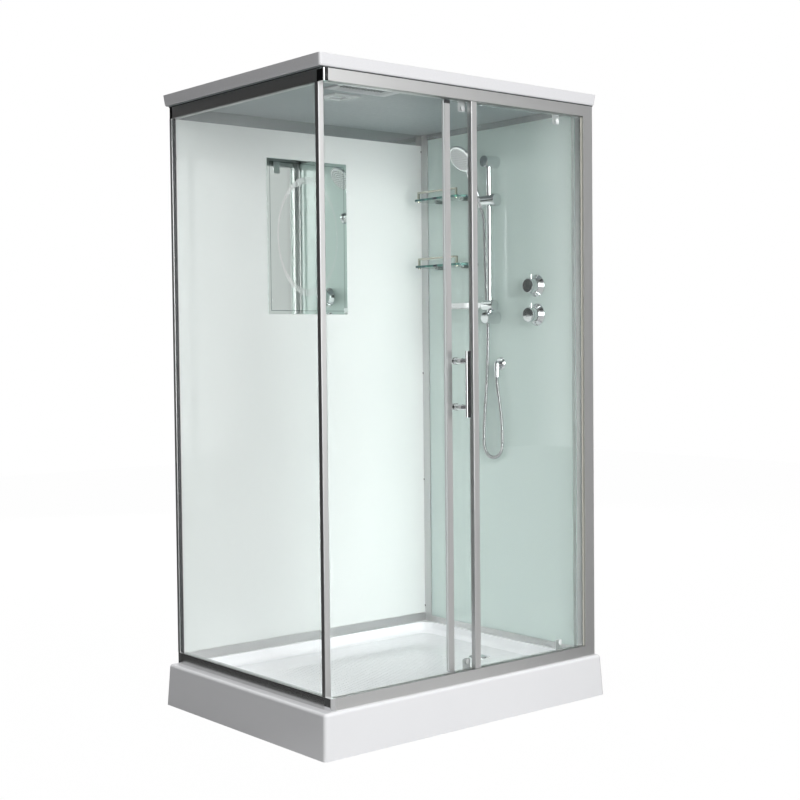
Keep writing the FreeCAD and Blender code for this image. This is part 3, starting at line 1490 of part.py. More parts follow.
def make_hose():
    """The hose hangs from the nut of the hand shower to the nut of the elbow."""
    down = lean.multVec(Vector(0, 0, -1))
    pivot = Vector(riser_x.value, holder_y.value, slider_height.value)
    top = pivot + down * d.nut_drop.value
    wall = right_wall.value
    foot = Vector(wall - d.elbow_standoff.value, 0, elbow_height.value - d.elbow_drop.value)
    route = [top, top + down * HOSE_LEAD]
    stretch = (top.z - foot.z) / HOSE_RISE
    for out, along, up in HOSE_POINTS:
        route.append(Vector(wall - out, along, foot.z + up * (stretch if up > 0 else 1)))
    route += [foot - Vector(0, 0, HOSE_LEAD), foot]
    path, radii = tube_path(route)
    print("hose length %.1f mm, arc radii %s" % (path.Length, [round(r) for r in radii]))
    ring = Part.Wire([Part.Circle(top, down, d.hose_radius.value).toShape()])
    tube = path.makePipeShell([ring], True, False)
    expected = math.pi * d.hose_radius.value ** 2 * path.Length
    print("hose volume against section times length %.4f" % (tube.Volume / expected))
    hose = doc.addObject("Part::Feature", "shower_hose")
    hose.Shape = tube
    node(place(hose), "shower_hose")


def make_soap_dish():
    slider = slider_barrel("soap_slider")
    arm = rectangle(-d.slider_radius * 0.6, d.slider_radius * 0.2, -d.dish_shell, d.dish_shell)
    sketch = outline(sketch_on(slider, "XZ_Plane", d.soft_edge - d.slider_back), arm)
    pad(slider, sketch, d.dish_gap + d.soft_edge, reverse=True)
    node(place(slider, riser_x, d.riser_y, soap_height), "soap_slider")

    dish = new_body("soap_dish")
    right = d.slider_radius * 0.4
    left = right - d.dish_reach
    near = d.slider_back + d.dish_gap
    far = near + d.dish_length
    half = d.dish_height / 2
    shell = d.dish_shell
    pad(dish, outline(sketch_on(dish, "XY_Plane", -half), rectangle(left, right, near, far)), d.dish_height)
    hollow = rectangle(left + shell, right - shell, near + shell, far - shell)
    pocket(dish, outline(sketch_on(dish, "XY_Plane", half), hollow), d.dish_height - shell)
    floor = -half + shell
    fillet(dish, d.dish_corner - shell, lambda middle, box: is_upright(box) and close(box.ZMin, floor.value))
    fillet(dish, d.dish_corner, lambda middle, box: is_upright(box) and close(box.ZMin, -half.value))
    fillet(dish, d.dish_edge, lambda middle, box: close(box.ZMax, -half.value))
    node(place(dish, riser_x, d.riser_y, soap_height), "soap_dish")


# Valves.

def make_valves():
    high = d.escutcheon_height
    collars = []
    knob_back = -high - d.knob_gap
    knob_front = knob_back - d.knob_length
    groove = knob_front + d.knob_cap
    socket = knob_front + d.knob_cap
    for label, height in (("knob_upper", upper_valve), ("knob_lower", lower_valve)):
        collar = new_body("escutcheon")
        turn(collar, "XZ_Plane", [
            (ZERO, d.stem_radius + 1),
            (ZERO, d.escutcheon_radius),
            (-d.soft_edge * 2, d.escutcheon_radius),
            (d.soft_edge * 3 - high, d.escutcheon_neck + d.soft_edge * 2),
            (-high, d.escutcheon_neck),
            (-high, d.stem_radius + 1),
        ], "H_Axis")
        collars.append(place(collar, right_wall, d.valve_y, height))

        knob = new_body(label)
        bore = d.stem_radius + d.running_clearance
        turn(knob, "XZ_Plane", [
            (knob_front, ZERO),
            (knob_front, d.knob_radius - d.soft_edge),
            (knob_front + d.soft_edge, d.knob_radius),
            (groove, d.knob_radius),
            (groove, d.knob_radius - d.knob_groove),
            (groove + d.soft_edge, d.knob_radius - d.knob_groove),
            (groove + d.soft_edge, d.knob_radius),
            (knob_back, d.knob_radius),
            (knob_back, bore),
            (socket, bore),
            (socket, ZERO),
        ], "H_Axis")
        root = d.knob_radius - d.soft_edge * 1.5
        pin = circle(sketch_on(knob, "XY_Plane", root), knob_back - d.pin_setback, 0, d.pin_radius)
        pad(knob, pin, d.knob_radius + d.pin_length - root)
        node(place(knob, right_wall, d.valve_y, height), label)
    group("mixer_escutcheons", collars)


def cylinder(name, radius, height, direction):
    """A plain cylinder along one of the axes."""
    thing = doc.addObject("Part::Cylinder", name)
    thing.setExpression("Radius", radius.formula)
    thing.setExpression("Height", height.formula)
    thing.Placement.Rotation = FreeCAD.Rotation(Vector(0, 0, 1), direction)
    return thing


def make_mixer_body():
    """Valve bodies with their stems, the pipes between them and the two inlets."""
    back = right_wall + d.glass_thickness
    middle = back + d.valve_body_depth / 2
    tip = right_wall - d.escutcheon_height - d.knob_gap - d.knob_length + d.knob_cap + 0.3
    along_x = Vector(1, 0, 0)
    up = Vector(0, 0, 1)
    pieces = []
    for height in (upper_valve, lower_valve):
        body = cylinder("valve_body", d.valve_body_radius, d.valve_body_depth, along_x)
        pieces.append(place(body, back, d.valve_y, height))
        flange = cylinder("valve_flange", d.valve_flange, d.valve_flange_height, along_x)
        pieces.append(place(flange, back, d.valve_y, height))
        stem = cylinder("valve_stem", d.stem_radius, back - tip, along_x)
        pieces.append(place(stem, tip, d.valve_y, height))
    bridge = cylinder("bridge", d.manifold_radius, upper_valve - lower_valve, up)
    pieces.append(place(bridge, middle, d.valve_y, lower_valve))
    half_manifold = d.inlet_spacing / 2 + d.manifold_radius
    manifold = cylinder("manifold", d.manifold_radius, half_manifold * 2, Vector(0, 1, 0))
    pieces.append(place(manifold, middle, d.valve_y - half_manifold, lower_valve))
    for side in (-1, 1):
        inlet = cylinder("inlet", d.inlet_radius, d.inlet_drop, up)
        inlet_y = d.valve_y + d.inlet_spacing / 2 * side
        pieces.append(place(inlet, middle, inlet_y, lower_valve - d.inlet_drop))
        collar = cylinder("inlet_collar", d.inlet_collar, d.inlet_collar_drop, up)
        pieces.append(place(collar, middle, inlet_y, lower_valve - d.inlet_collar_drop))
    mixer = doc.addObject("Part::MultiFuse", "mixer_body")
    mixer.Shapes = pieces
    node(mixer, "mixer_body")


# Roof with its fan and lamp.

roof_foot_x = skirt_x - d.roof_end_setback
roof_foot_y = skirt_y - d.roof_side_setback
ceiling_x = roof_foot_x - d.roof_shell
ceiling_y = roof_foot_y - d.roof_shell


def make_roof():
    cover = new_body("roof_cover")
    foot = rectangle(-roof_foot_x, roof_foot_x, -roof_foot_y, roof_foot_y)
    pad(cover, outline(sketch_on(cover, "XY_Plane"), foot), d.roof_height)
    lean_sides(cover, d.roof_flare, d.roof_height, reverse=True)
    fillet(cover, d.roof_corner, lambda middle, box: is_upright(box))
    fillet(cover, d.roof_edge, lambda middle, box: close(box.ZMax, 0))
    cavity = outline(sketch_on(cover, "XY_Plane"), rectangle(-ceiling_x, ceiling_x, -ceiling_y, ceiling_y))
    pocket(cover, cavity, d.roof_height - d.roof_shell, reverse=True)
    node(place(cover, ZERO, ZERO, roof_line), "roof_cover")

    panel = new_body("ceiling_panel")
    sketch = outline(sketch_on(panel, "XY_Plane"), rectangle(-ceiling_x, ceiling_x, -ceiling_y, ceiling_y))
    circle(sketch, d.fan_x, d.fan_y, d.fan_radius)
    pad(panel, sketch, d.ceiling_thickness)
    node(place(panel, ZERO, ZERO, roof_line), "ceiling_panel")


def make_fan():
    grille = new_body("fan_grille")
    half_length = d.grille_length / 2
    half_width = d.grille_width / 2
    plan = rectangle(-half_length, half_length, -half_width, half_width)
    sketch = outline(sketch_on(grille, "XY_Plane"), plan)
    half_slot_length = d.slot_length / 2
    half_slot_width = d.slot_width / 2
    for number in range(SLOT_COUNT):
        middle = d.slot_pitch * (number - (SLOT_COUNT - 1) / 2)
        outline(sketch, rectangle(
            -half_slot_length, half_slot_length, middle - half_slot_width, middle + half_slot_width))
    pad(grille, sketch, d.grille_thickness)
    chamfer(grille, d.grille_thickness / 2, lambda middle, box: close(box.ZMax, 0)
            and (close(abs(middle.x), half_length.value) or close(abs(middle.y), half_width.value)))
    node(place(grille, d.fan_x, d.fan_y, roof_line - d.grille_thickness), "fan_grille")

    housing = new_body("fan_housing")
    half = d.fan_radius + d.fan_wall
    pad(housing, outline(sketch_on(housing, "XY_Plane"), rectangle(-half, half, -half, half)), d.fan_depth)
    ring = circle(sketch_on(housing, "XY_Plane"), 0, 0, d.fan_radius)
    circle(ring, 0, 0, d.spindle_radius)
    pocket(housing, ring, d.fan_depth - d.fan_wall, reverse=True)
    stub = circle(sketch_on(housing, "XY_Plane"), 0, 0, d.spindle_radius + 1)
    pocket(housing, stub, d.rotor_gap / 2, reverse=True)
    exhaust = rectangle(-d.fan_hub, d.fan_hub, d.fan_wall, d.fan_depth - d.fan_wall)
    pocket(housing, outline(sketch_on(housing, "XZ_Plane", -d.fan_hub), exhaust))
    foot = roof_line + d.ceiling_thickness
    node(place(housing, d.fan_x, d.fan_y, foot), "fan_housing")

    rotor = new_body("fan_rotor")
    bore = d.spindle_radius + d.running_clearance
    turn(rotor, "XZ_Plane", rectangle(bore, d.fan_hub, ZERO, d.rotor_height), "V_Axis")
    half = d.blade_thickness / 2
    blade_plan = rectangle(d.fan_hub - d.blade_thickness, d.fan_radius - d.fan_clearance, -half, half)
    sketch = outline(sketch_on(rotor, "XY_Plane"), blade_plan)
    blade = pad(rotor, sketch, d.rotor_height)
    ring = rotor.newObject("PartDesign::PolarPattern", "Blades")
    ring.Originals = [blade]
    ring.Axis = (sketch, ["N_Axis"])
    ring.Angle = 360
    ring.Occurrences = BLADE_COUNT
    rotor.Tip = ring
    doc.recompute()
    node(place(rotor, d.fan_x, d.fan_y, foot + d.rotor_gap), "fan_rotor")


def make_lamp():
    lamp = new_body("ceiling_lamp")
    half = d.lamp_size / 2
    pad(lamp, outline(sketch_on(lamp, "XY_Plane"), rectangle(-half, half, -half, half)), d.lamp_height)
    fillet(lamp, d.lamp_round, lambda middle, box: close(box.ZMax, 0))
    node(place(lamp, d.lamp_x, d.lamp_y, roof_line - d.lamp_height), "ceiling_lamp")


make_tray()
make_waste()
make_tray_frame()
make_feet()
make_left_rails()
make_front_rails()
make_wall_rails()
make_left_posts()
make_right_posts()
make_corner_caps()
make_left_glass()
make_fixed_panel()
make_back_wall()
make_right_wall()
make_door()
make_handle()
make_rollers()
make_mirror()
make_shelves()
make_riser()
make_slider()
make_hand_shower()
make_elbow()
make_hose()
make_soap_dish()
make_valves()
make_mixer_body()
make_roof()
make_fan()
make_lamp()
doc.recompute()

faults = []
for thing in doc.Objects:
    if "Invalid" in thing.State or "Error" in thing.State:
        owners = [parent.Label for parent in thing.InList]
        faults.append("%s of %s did not build" % (thing.Label, owners))
for thing in nodes:
    shape = thing.Shape
    if shape.isNull() or not shape.isValid() or not shape.Solids:
        faults.append("%s has no valid solid" % thing.Label)
if faults:
    raise RuntimeError("; ".join(faults))

os.makedirs("parts", exist_ok=True)
for thing in nodes:
    thing.Shape.exportStep("parts/%s.step" % thing.Label)
print("wrote %d sub-parts" % len(nodes))
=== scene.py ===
import math

import bpy
import numpy as np
from mathutils import Matrix, Vector


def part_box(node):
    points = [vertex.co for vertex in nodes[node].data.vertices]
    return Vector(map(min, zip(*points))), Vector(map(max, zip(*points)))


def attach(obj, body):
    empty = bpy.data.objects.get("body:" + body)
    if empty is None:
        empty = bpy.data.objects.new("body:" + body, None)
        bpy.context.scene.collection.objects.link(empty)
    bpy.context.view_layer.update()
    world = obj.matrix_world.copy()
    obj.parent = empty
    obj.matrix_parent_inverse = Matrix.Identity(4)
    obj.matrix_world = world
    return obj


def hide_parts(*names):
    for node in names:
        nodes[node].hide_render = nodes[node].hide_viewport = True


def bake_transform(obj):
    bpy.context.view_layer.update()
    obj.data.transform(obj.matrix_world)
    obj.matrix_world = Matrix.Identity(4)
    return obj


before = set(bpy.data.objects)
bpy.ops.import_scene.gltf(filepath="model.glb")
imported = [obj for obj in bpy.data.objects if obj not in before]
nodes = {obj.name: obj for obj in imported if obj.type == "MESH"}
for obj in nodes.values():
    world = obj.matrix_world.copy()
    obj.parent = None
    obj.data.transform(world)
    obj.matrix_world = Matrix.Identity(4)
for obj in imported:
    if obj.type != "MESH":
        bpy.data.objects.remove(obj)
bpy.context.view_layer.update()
scene = bpy.context.scene
scene.view_settings.view_transform = "Standard"

FULL_TURN = 2 * math.pi
ALONG_X, ALONG_Y, ALONG_Z = np.eye(3)

# Camera, floor and light.

# Angles in degrees, place in metres, focal length and sensor in millimetres.
CAMERA_YAW, CAMERA_PITCH, CAMERA_ROLL = 39.746, -2.216, -0.582
CAMERA_PLACE = (-2.9924, -3.67885, 1.2072)
FOCAL_LENGTH = 62.98
SENSOR_WIDTH = 36

# Half the floor's width, the strength of its white, and the share of white that the eye sees.
FLOOR_REACH = 9.0
FLOOR_WHITE = 1.06
WHITE_SHARE = 0.92

# Each lamp's name, place, width, height and power. All of them face the middle of the object.
LAMPS = (
    ("front_lamp", (-0.6, -5.2, 1.9), 4.6, 2.6, 208),
    ("left_lamp", (-4.6, -1.6, 1.3), 2.4, 2.4, 7),
    ("back_lamp", (2.8, 4.6, 2.0), 4.0, 2.6, 170),
)
LAMP_TARGET = Vector((0, 0, 1.0))
EVEN_LIGHT = 0.135
CEILING_LIGHT = 1.6
CEILING_SPREAD = math.radians(12)
CEILING_WAY = Vector((0.10, 0.06, -0.99))

# The studio round the object as metal and glass show it: turn from straight ahead of the front,
# to the right, in degrees, and the brightness there. A large white cloth stands ahead of the
# front, a narrow one to its right.
STUDIO = (
    (-180, 0.25), (-158, 0.25), (-151, 0.004), (-131, 0.004), (-124, 0.25), (-84, 0.10),
    (-62, 0.08), (-42, 0.08), (-16, 3.1), (31.5, 3.1), (33.6, 0.6), (35.4, 0.6), (36.2, 0.03),
    (44.9, 0.06), (45.7, 0.1), (46.0, 0.5), (46.4, 1.0), (46.46, 1.8), (46.5, 3.2), (46.58, 3.2),
    (46.64, 1.8), (46.95, 1.8), (47.3, 0.08), (92, 0.09), (112, 0.5), (158, 0.5), (172, 0.25),
)
# The same for the floor round the object.
STUDIO_FLOOR = (
    (-180, 0.06), (-90, 0.06), (-60, 0.5), (25, 0.60), (44, 0.40), (52, 0.22), (90, 0.2),
    (150, 0.2), (172, 0.06),
)
# A ray's rise where the studio begins to fade, where it ends, and the share left there.
FADE_START, FADE_END, FADE_LEFT = 0.35, 0.7, 0.1


def add_camera():
    """Camera at the photograph's angle. Its right and up axes are turned by the roll about the
    line of sight."""
    angles = (CAMERA_YAW, CAMERA_PITCH, CAMERA_ROLL)
    yaw, pitch, roll = (math.radians(angle) for angle in angles)
    reach = math.cos(pitch)
    ahead = Vector((math.sin(yaw) * reach, math.cos(yaw) * reach, math.sin(pitch)))
    level = Vector((math.cos(yaw), -math.sin(yaw), 0))
    rise = level.cross(ahead)
    right = level * math.cos(roll) + rise * math.sin(roll)
    up = rise * math.cos(roll) - level * math.sin(roll)
    data = bpy.data.cameras.new("photo_camera")
    data.lens = FOCAL_LENGTH
    data.sensor_width = SENSOR_WIDTH
    camera = bpy.data.objects.new("photo_camera", data)
    scene.collection.objects.link(camera)
    turn = Matrix((right, up, -ahead)).transposed().to_4x4()
    camera.matrix_world = Matrix.Translation(CAMERA_PLACE) @ turn
    scene.camera = camera


class Network:
    """A tree of shader nodes, with short ways to add to it."""

    def __init__(self, tree):
        self.tree = tree

    def put(self, node, values):
        """Each socket takes a fixed value, or a link where the value is another node's socket."""
        for name, value in values.items():
            if isinstance(value, bpy.types.NodeSocket):
                self.tree.links.new(value, node.inputs[name])
            else:
                node.inputs[name].default_value = value

    def node(self, kind, values=None, **settings):
        """A new node with its settings and the values of its sockets."""
        made = self.tree.nodes.new(kind)
        for name, value in settings.items():
            setattr(made, name, value)
        self.put(made, values or {})
        return made

    def calc(self, operation, first, second=0.0):
        """One step of arithmetic on two numbers."""
        return self.node("ShaderNodeMath", {0: first, 1: second}, operation=operation).outputs[0]

    def span(self, value, low, high, start=0.3, end=0.7):
        """Carries start..end over to low..high."""
        given = {"Value": value, "From Min": start, "From Max": end, "To Min": low, "To Max": high}
        return self.node("ShaderNodeMapRange", given).outputs["Result"]

    def mix(self, share, first, second):
        """A shader between two others."""
        return self.node("ShaderNodeMixShader", {0: share, 1: first, 2: second}).outputs[0]


class Finish(Network):
    """One Principled surface, with its patterns worked out on Object coordinates."""

    def __init__(self, name, **sockets):
        self.material = bpy.data.materials.new(name)
        self.material.use_nodes = True
        super().__init__(self.material.node_tree)
        self.shader = self.tree.nodes["Principled BSDF"]
        self.output = self.tree.nodes["Material Output"]
        self.put(self.shader, sockets)
        self.place = self.node("ShaderNodeTexCoord").outputs["Object"]

    def axes(self):
        """The three Object coordinates as numbers."""
        return self.node("ShaderNodeSeparateXYZ", {"Vector": self.place}).outputs

    def spots(self, frequency, detail=3.0):
        """Noise from 0 to 1. The frequency is per metre, one number or one for each axis."""
        scale = np.broadcast_to(frequency, 3).tolist()
        stretched = self.node("ShaderNodeMapping", {"Vector": self.place, "Scale": scale})
        given = {"Vector": stretched.outputs[0], "Scale": 1.0, "Detail": detail}
        return self.node("ShaderNodeTexNoise", given).outputs["Fac"]

    def between(self, share, first, second):
        """A colour between two others, each three numbers or another node's socket."""
        colours = [
            colour if isinstance(colour, bpy.types.NodeSocket) else (*colour, 1)
            for colour in (first, second)]
        given = {0: share, 6: colours[0], 7: colours[1]}
        return self.node("ShaderNodeMix", given, data_type="RGBA").outputs[2]

    def colour(self, share, first, second):
        """Colours the surface between two colours."""
        self.put(self.shader, {"Base Color": self.between(share, first, second)})

    def roughness(self, share, low, high):
        """Lets the roughness vary between two values."""
        self.put(self.shader, {"Roughness": self.span(share, low, high)})

    def bump(self, height, strength, depth):
        """A fine grain on the surface."""
        given = {"Height": height, "Strength": strength, "Distance": depth}
        self.put(self.shader, {"Normal": self.node("ShaderNodeBump", given).outputs["Normal"]})


def studio_tone(network, coordinate, table):
    """The studio's brightness by the turn of a ray, or of a place on the floor: the arc tangent
    of its way to the right over its way to the front. It fades towards the dark ceiling."""
    way = network.node("ShaderNodeTexCoord").outputs[coordinate]
    right, back, up = network.node("ShaderNodeSeparateXYZ", {"Vector": way}).outputs
    turn = network.calc("ARCTAN2", right, network.calc("MULTIPLY", back, -1.0))
    share = network.span(turn, 0.0, 1.0, -math.pi, math.pi)
    ramp = network.node("ShaderNodeValToRGB", {0: share})
    stops = ramp.color_ramp.elements
    for degrees, _ in table[2:]:
        stops.new((degrees + 180) / 360)
    for stop, (degrees, tone) in zip(stops, table):
        stop.position = (degrees + 180) / 360
        stop.color = (tone, tone, tone, 1)
    fade = network.span(up, 1.0, FADE_LEFT, FADE_START, FADE_END)
    given = {0: ramp.outputs[0], "Scale": fade}
    return network.node("ShaderNodeVectorMath", given, operation="SCALE").outputs[0]


def add_floor():
    """Pale floor that keeps a soft shadow: a share of white light for the eye over a matt
    surface. In reflections it has the studio's tones."""
    paint = Finish("floor_paint", Roughness=0.8)
    paint.colour(paint.spots(3), (0.27, 0.27, 0.27), (0.29, 0.29, 0.29))
    white = paint.node("ShaderNodeEmission", {"Color": (1, 1, 1, 1), "Strength": FLOOR_WHITE})
    tone = studio_tone(paint, "Object", STUDIO_FLOOR)
    studio = paint.node("ShaderNodeEmission", {"Color": tone, "Strength": 1.0})
    path = paint.node("ShaderNodeLightPath").outputs
    clear = paint.calc("MAXIMUM", path["Is Camera Ray"], path["Is Transmission Ray"])
    seen = paint.calc("MULTIPLY", clear, WHITE_SHARE)
    eye = paint.mix(seen, paint.shader.outputs[0], white.outputs[0])
    turned = paint.calc("ADD", path["Glossy Depth"], path["Diffuse Depth"])
    reflected = paint.calc("MULTIPLY", path["Is Glossy Ray"], turned)
    paint.put(paint.output, {0: paint.mix(reflected, eye, studio.outputs[0])})
    corners = FLOOR_REACH * np.array([(-1, -1, 0), (1, -1, 0), (1, 1, 0), (-1, 1, 0)])
    square = np.array([(0, 1, 2, 3)])
    floor = add_mesh("floor", corners, square, paint.material, None, smooth=False)


def hang_light(name, kind, power, place, way):
    """A light at a place that shines one way and shows in no reflection."""
    data = bpy.data.lights.new(name, kind)
    data.energy = power
    light = bpy.data.objects.new(name, data)
    light.visible_glossy = False
    scene.collection.objects.link(light)
    turn = way.to_track_quat("-Z", "Y").to_matrix().to_4x4()
    light.matrix_world = Matrix.Translation(place) @ turn
    return data


def add_light():
    """White to the eye and through glass, the studio's tones in what is reflected, a weaker even
    light on matt surfaces, a large front lamp, a weak one on the left, one behind and a soft
    light from above."""
    world = bpy.data.worlds.new("studio")
    scene.world = world
    world.cycles.sampling_method = "NONE"
    world.use_nodes = True
    world.node_tree.nodes.clear()
    network = Network(world.node_tree)
    path = network.node("ShaderNodeLightPath").outputs
    mirrored = network.calc("MAXIMUM", path["Is Camera Ray"], path["Is Glossy Ray"])
    seen = network.calc("MAXIMUM", mirrored, path["Is Transmission Ray"])
    tone = studio_tone(network, "Generated", STUDIO)
    grounds = (((1, 1, 1, 1), 1.0), (tone, 1.0), ((1, 1, 1, 1), EVEN_LIGHT))
    white, studio, plain = (
        network.node("ShaderNodeBackground", {"Color": colour, "Strength": strength}).outputs[0]
        for colour, strength in grounds)
    shown = network.mix(path["Glossy Depth"], white, studio)
    network.node("ShaderNodeOutputWorld", {0: network.mix(seen, plain, shown)})
    for name, place, width, height, power in LAMPS:
        lamp = hang_light(name, "AREA", power, place, LAMP_TARGET - Vector(place))
        lamp.shape = "RECTANGLE"
        lamp.size = width
        lamp.size_y = height
    overhead = hang_light("ceiling_light", "SUN", CEILING_LIGHT, (0, 0, 0), CEILING_WAY)
    overhead.angle = CEILING_SPREAD


# Finishes.

GREEN_EDGE = (0.42, 0.66, 0.56)
PAINTED_EDGE = (0.30, 0.55, 0.45)
PANE_TINT = (0.995, 1.0, 0.998)
PANE_SHADOW = (0.98, 0.995, 0.99, 1)
SILVER = (0.93, 1.0, 0.97)

# The mirror's oval band: height of its middle, half width and half height of both ovals.
OVAL_MIDDLE = 1.604
OVAL_OUTER = (0.133, 0.214)
OVAL_INNER = (0.127, 0.190)
# Width of the mirror's ground edge, and half the width of the painted shade line along it.
GROUND_EDGE = 0.012
HALF_SHADE_LINE = 0.0011

# Plain plastics: name, darker and lighter colour, roughness from and to, and the CAD pieces.
PLASTICS = (
    ("grille_plastic", (0.62, 0.64, 0.65), (0.68, 0.70, 0.71), 0.3, 0.42, "fan_grille"),
    ("fan_plastic", (0.04, 0.04, 0.045), (0.06, 0.06, 0.065), 0.4, 0.55, "fan_housing", "fan_rotor"),
    ("foot_plastic", (0.03, 0.03, 0.03), (0.05, 0.05, 0.05), 0.4, 0.6, "levelling_feet"),
    ("trap_plastic", (0.76, 0.76, 0.75), (0.82, 0.82, 0.81), 0.35, 0.5, "waste_trap"),
    ("soft_seal", (0.58, 0.61, 0.61), (0.66, 0.69, 0.69), 0.35, 0.5, "door_seal"),
    ("roller_plastic", (0.72, 0.72, 0.71), (0.80, 0.80, 0.79), 0.3, 0.45, "roller_upper_left",
     "roller_upper_right", "roller_lower_left", "roller_lower_right"),
    ("spray_plastic", (0.84, 0.86, 0.86), (0.88, 0.90, 0.90), 0.25, 0.38, "spray_face"),
)


def by_face(finish, axis):
    """1 on the two broad faces of a pane, 0 on its edges, from the direction of the surface."""
    facing = finish.node("ShaderNodeNewGeometry").outputs["Normal"]
    across = finish.node("ShaderNodeSeparateXYZ", {"Vector": facing}).outputs[axis]
    return finish.calc("GREATER_THAN", finish.calc("ABSOLUTE", across), 0.7)


def aluminium(name, frequency, smooth=0.32, dull=0.38):
    """Satin anodised aluminium with the fine lines of the extrusion running along the profile."""
    finish = Finish(name, Metallic=1.0)
    lines = finish.spots(frequency, 2.0)
    finish.colour(lines, (0.645, 0.648, 0.645), (0.67, 0.673, 0.67))
    finish.roughness(lines, smooth, dull)
    finish.bump(lines, 0.02, 0.0001)
    return finish.material


def polished(name, dark, light):
    """Bright plating with a faint haze of water marks."""
    finish = Finish(name, Metallic=1.0)
    haze = finish.spots(60, 4.0)
    finish.colour(haze, dark, light)
    finish.roughness(haze, 0.03, 0.10)
    return finish.material


def clear_glass(name, axis, tint=PANE_TINT, edge=GREEN_EDGE, painted_glow=(0.0, 0.0, 0.0)):
    """Clear glass with green edges, where a painted glow, an emission, stands in for the light
    gathered inside coming out. It lets the light of the lamps through."""
    sockets = {"Transmission Weight": 1.0, "IOR": 1.3, "Emission Strength": 1.0}
    finish = Finish(name, **sockets)
    broad = by_face(finish, axis)
    finish.colour(broad, edge, tint)
    # Painted light: the edges glow with the given colour.
    finish.put(finish.shader, {"Emission Color": finish.between(broad, painted_glow, (0, 0, 0))})
    finish.roughness(finish.spots(25, 4.0), 0.0, 0.03)
    shadow = finish.node("ShaderNodeLightPath").outputs["Is Shadow Ray"]
    clear = finish.node("ShaderNodeBsdfTransparent", {"Color": PANE_SHADOW}).outputs[0]
    finish.put(finish.output, {0: finish.mix(shadow, finish.shader.outputs[0], clear)})
    return finish.material


def painted_glass(name, axis, dark, light, gloss):
    """Glass painted on its back: an even colour with a glossy face and green edges."""
    sockets = {"Specular IOR Level": gloss, "Coat Weight": 0.08, "Coat Roughness": 0.02}
    finish = Finish(name, **sockets)
    cloud = finish.between(finish.spots(2.5), dark, light)
    finish.colour(by_face(finish, axis), PAINTED_EDGE, cloud)
    finish.roughness(finish.spots(30, 4.0), 0.03, 0.09)
    return finish.material


def oval(finish, half_width, half_height):
    """How far out a point lies on an upright oval: 1 on its line."""
    x, _, z = finish.axes()
    rise = finish.calc("SUBTRACT", z, OVAL_MIDDLE)
    across = finish.calc("POWER", finish.calc("DIVIDE", x, half_width), 2.0)
    up = finish.calc("POWER", finish.calc("DIVIDE", rise, half_height), 2.0)
    return finish.calc("ADD", across, up)


def edge_distance(finish, place, centre, size):
    """How far a coordinate lies inside the nearer of the two edges of a strip."""
    off_centre = finish.calc("ABSOLUTE", finish.calc("SUBTRACT", place, centre))
    return finish.calc("SUBTRACT", size / 2, off_centre)


def mirror_glass(middle, size):
    """Silvered glass with a frosted oval band, inside the larger oval and outside the smaller
    one, and a dark line of painted shade where the ground edge begins, at one distance from the
    nearest edge."""
    finish = Finish("mirror", Metallic=1.0)
    inside = finish.calc("LESS_THAN", oval(finish, *OVAL_OUTER), 1.0)
    outside = finish.calc("GREATER_THAN", oval(finish, *OVAL_INNER), 1.0)
    band = finish.calc("MULTIPLY", inside, outside)
    frosted = finish.between(band, SILVER, (0.97, 1.0, 0.985))
    x, _, z = finish.axes()
    from_side = edge_distance(finish, x, middle[0], size[0])
    from_end = edge_distance(finish, z, middle[2], size[1])
    nearest = finish.calc("MINIMUM", from_side, from_end)
    # A dark line of painted shade where the ground edge begins.
    off_shade_line = finish.calc("ABSOLUTE", finish.calc("SUBTRACT", nearest, GROUND_EDGE))
    finish.colour(finish.calc("LESS_THAN", off_shade_line, HALF_SHADE_LINE), frosted, (0.40, 0.50, 0.48))
    finish.put(finish.shader, {"Roughness": finish.span(band, 0.02, 0.10, 0.0, 1.0)})
    finish.bump(finish.calc("MULTIPLY", finish.spots(900, 2.0), band), 0.03, 0.0002)
    return finish.material


def tray_acrylic():
    """White sanitary acrylic."""
    finish = Finish("tray_acrylic", **{"Coat Weight": 0.3, "Coat Roughness": 0.06})
    finish.colour(finish.spots(5), (0.86, 0.865, 0.885), (0.895, 0.90, 0.915))
    finish.roughness(finish.spots(40), 0.15, 0.26)
    return finish.material


def plastic(name, dark, light, smooth, dull, frequency=120, depth=0.0001, grain=0.04, **sockets):
    """Moulded plastic: a slight change of colour, uneven gloss and a fine grain."""
    finish = Finish(name, **sockets)
    finish.colour(finish.spots(9), dark, light)
    pores = finish.spots(frequency, 4.0)
    finish.roughness(pores, smooth, dull)
    finish.bump(pores, grain, depth)
    return finish.material


def galvanised_steel():
    """Zinc flakes: cells that differ in grey and gloss."""
    finish = Finish("galvanised_steel", Metallic=1.0)
    cells = finish.node("ShaderNodeTexVoronoi", {"Vector": finish.place, "Scale": 90.0})
    tone = finish.node("ShaderNodeSeparateColor", {"Color": cells.outputs["Color"]}).outputs[0]
    finish.colour(tone, (0.50, 0.51, 0.52), (0.66, 0.67, 0.68))
    finish.roughness(tone, 0.32, 0.5)
    return finish.material


def cast_brass():
    """Rough cast brass with a coarse grain."""
    finish = Finish("cast_brass", Metallic=1.0)
    grain = finish.spots(160, 4.0)
    finish.colour(grain, (0.70, 0.52, 0.24), (0.82, 0.64, 0.34))
    finish.roughness(grain, 0.28, 0.5)
    finish.bump(grain, 0.3, 0.0003)
    return finish.material


def paint(material, *names):
    """Gives the finish to the shown CAD pieces of those names."""
    for name in names:
        for held in nodes[name].material_slots:
            held.material = material


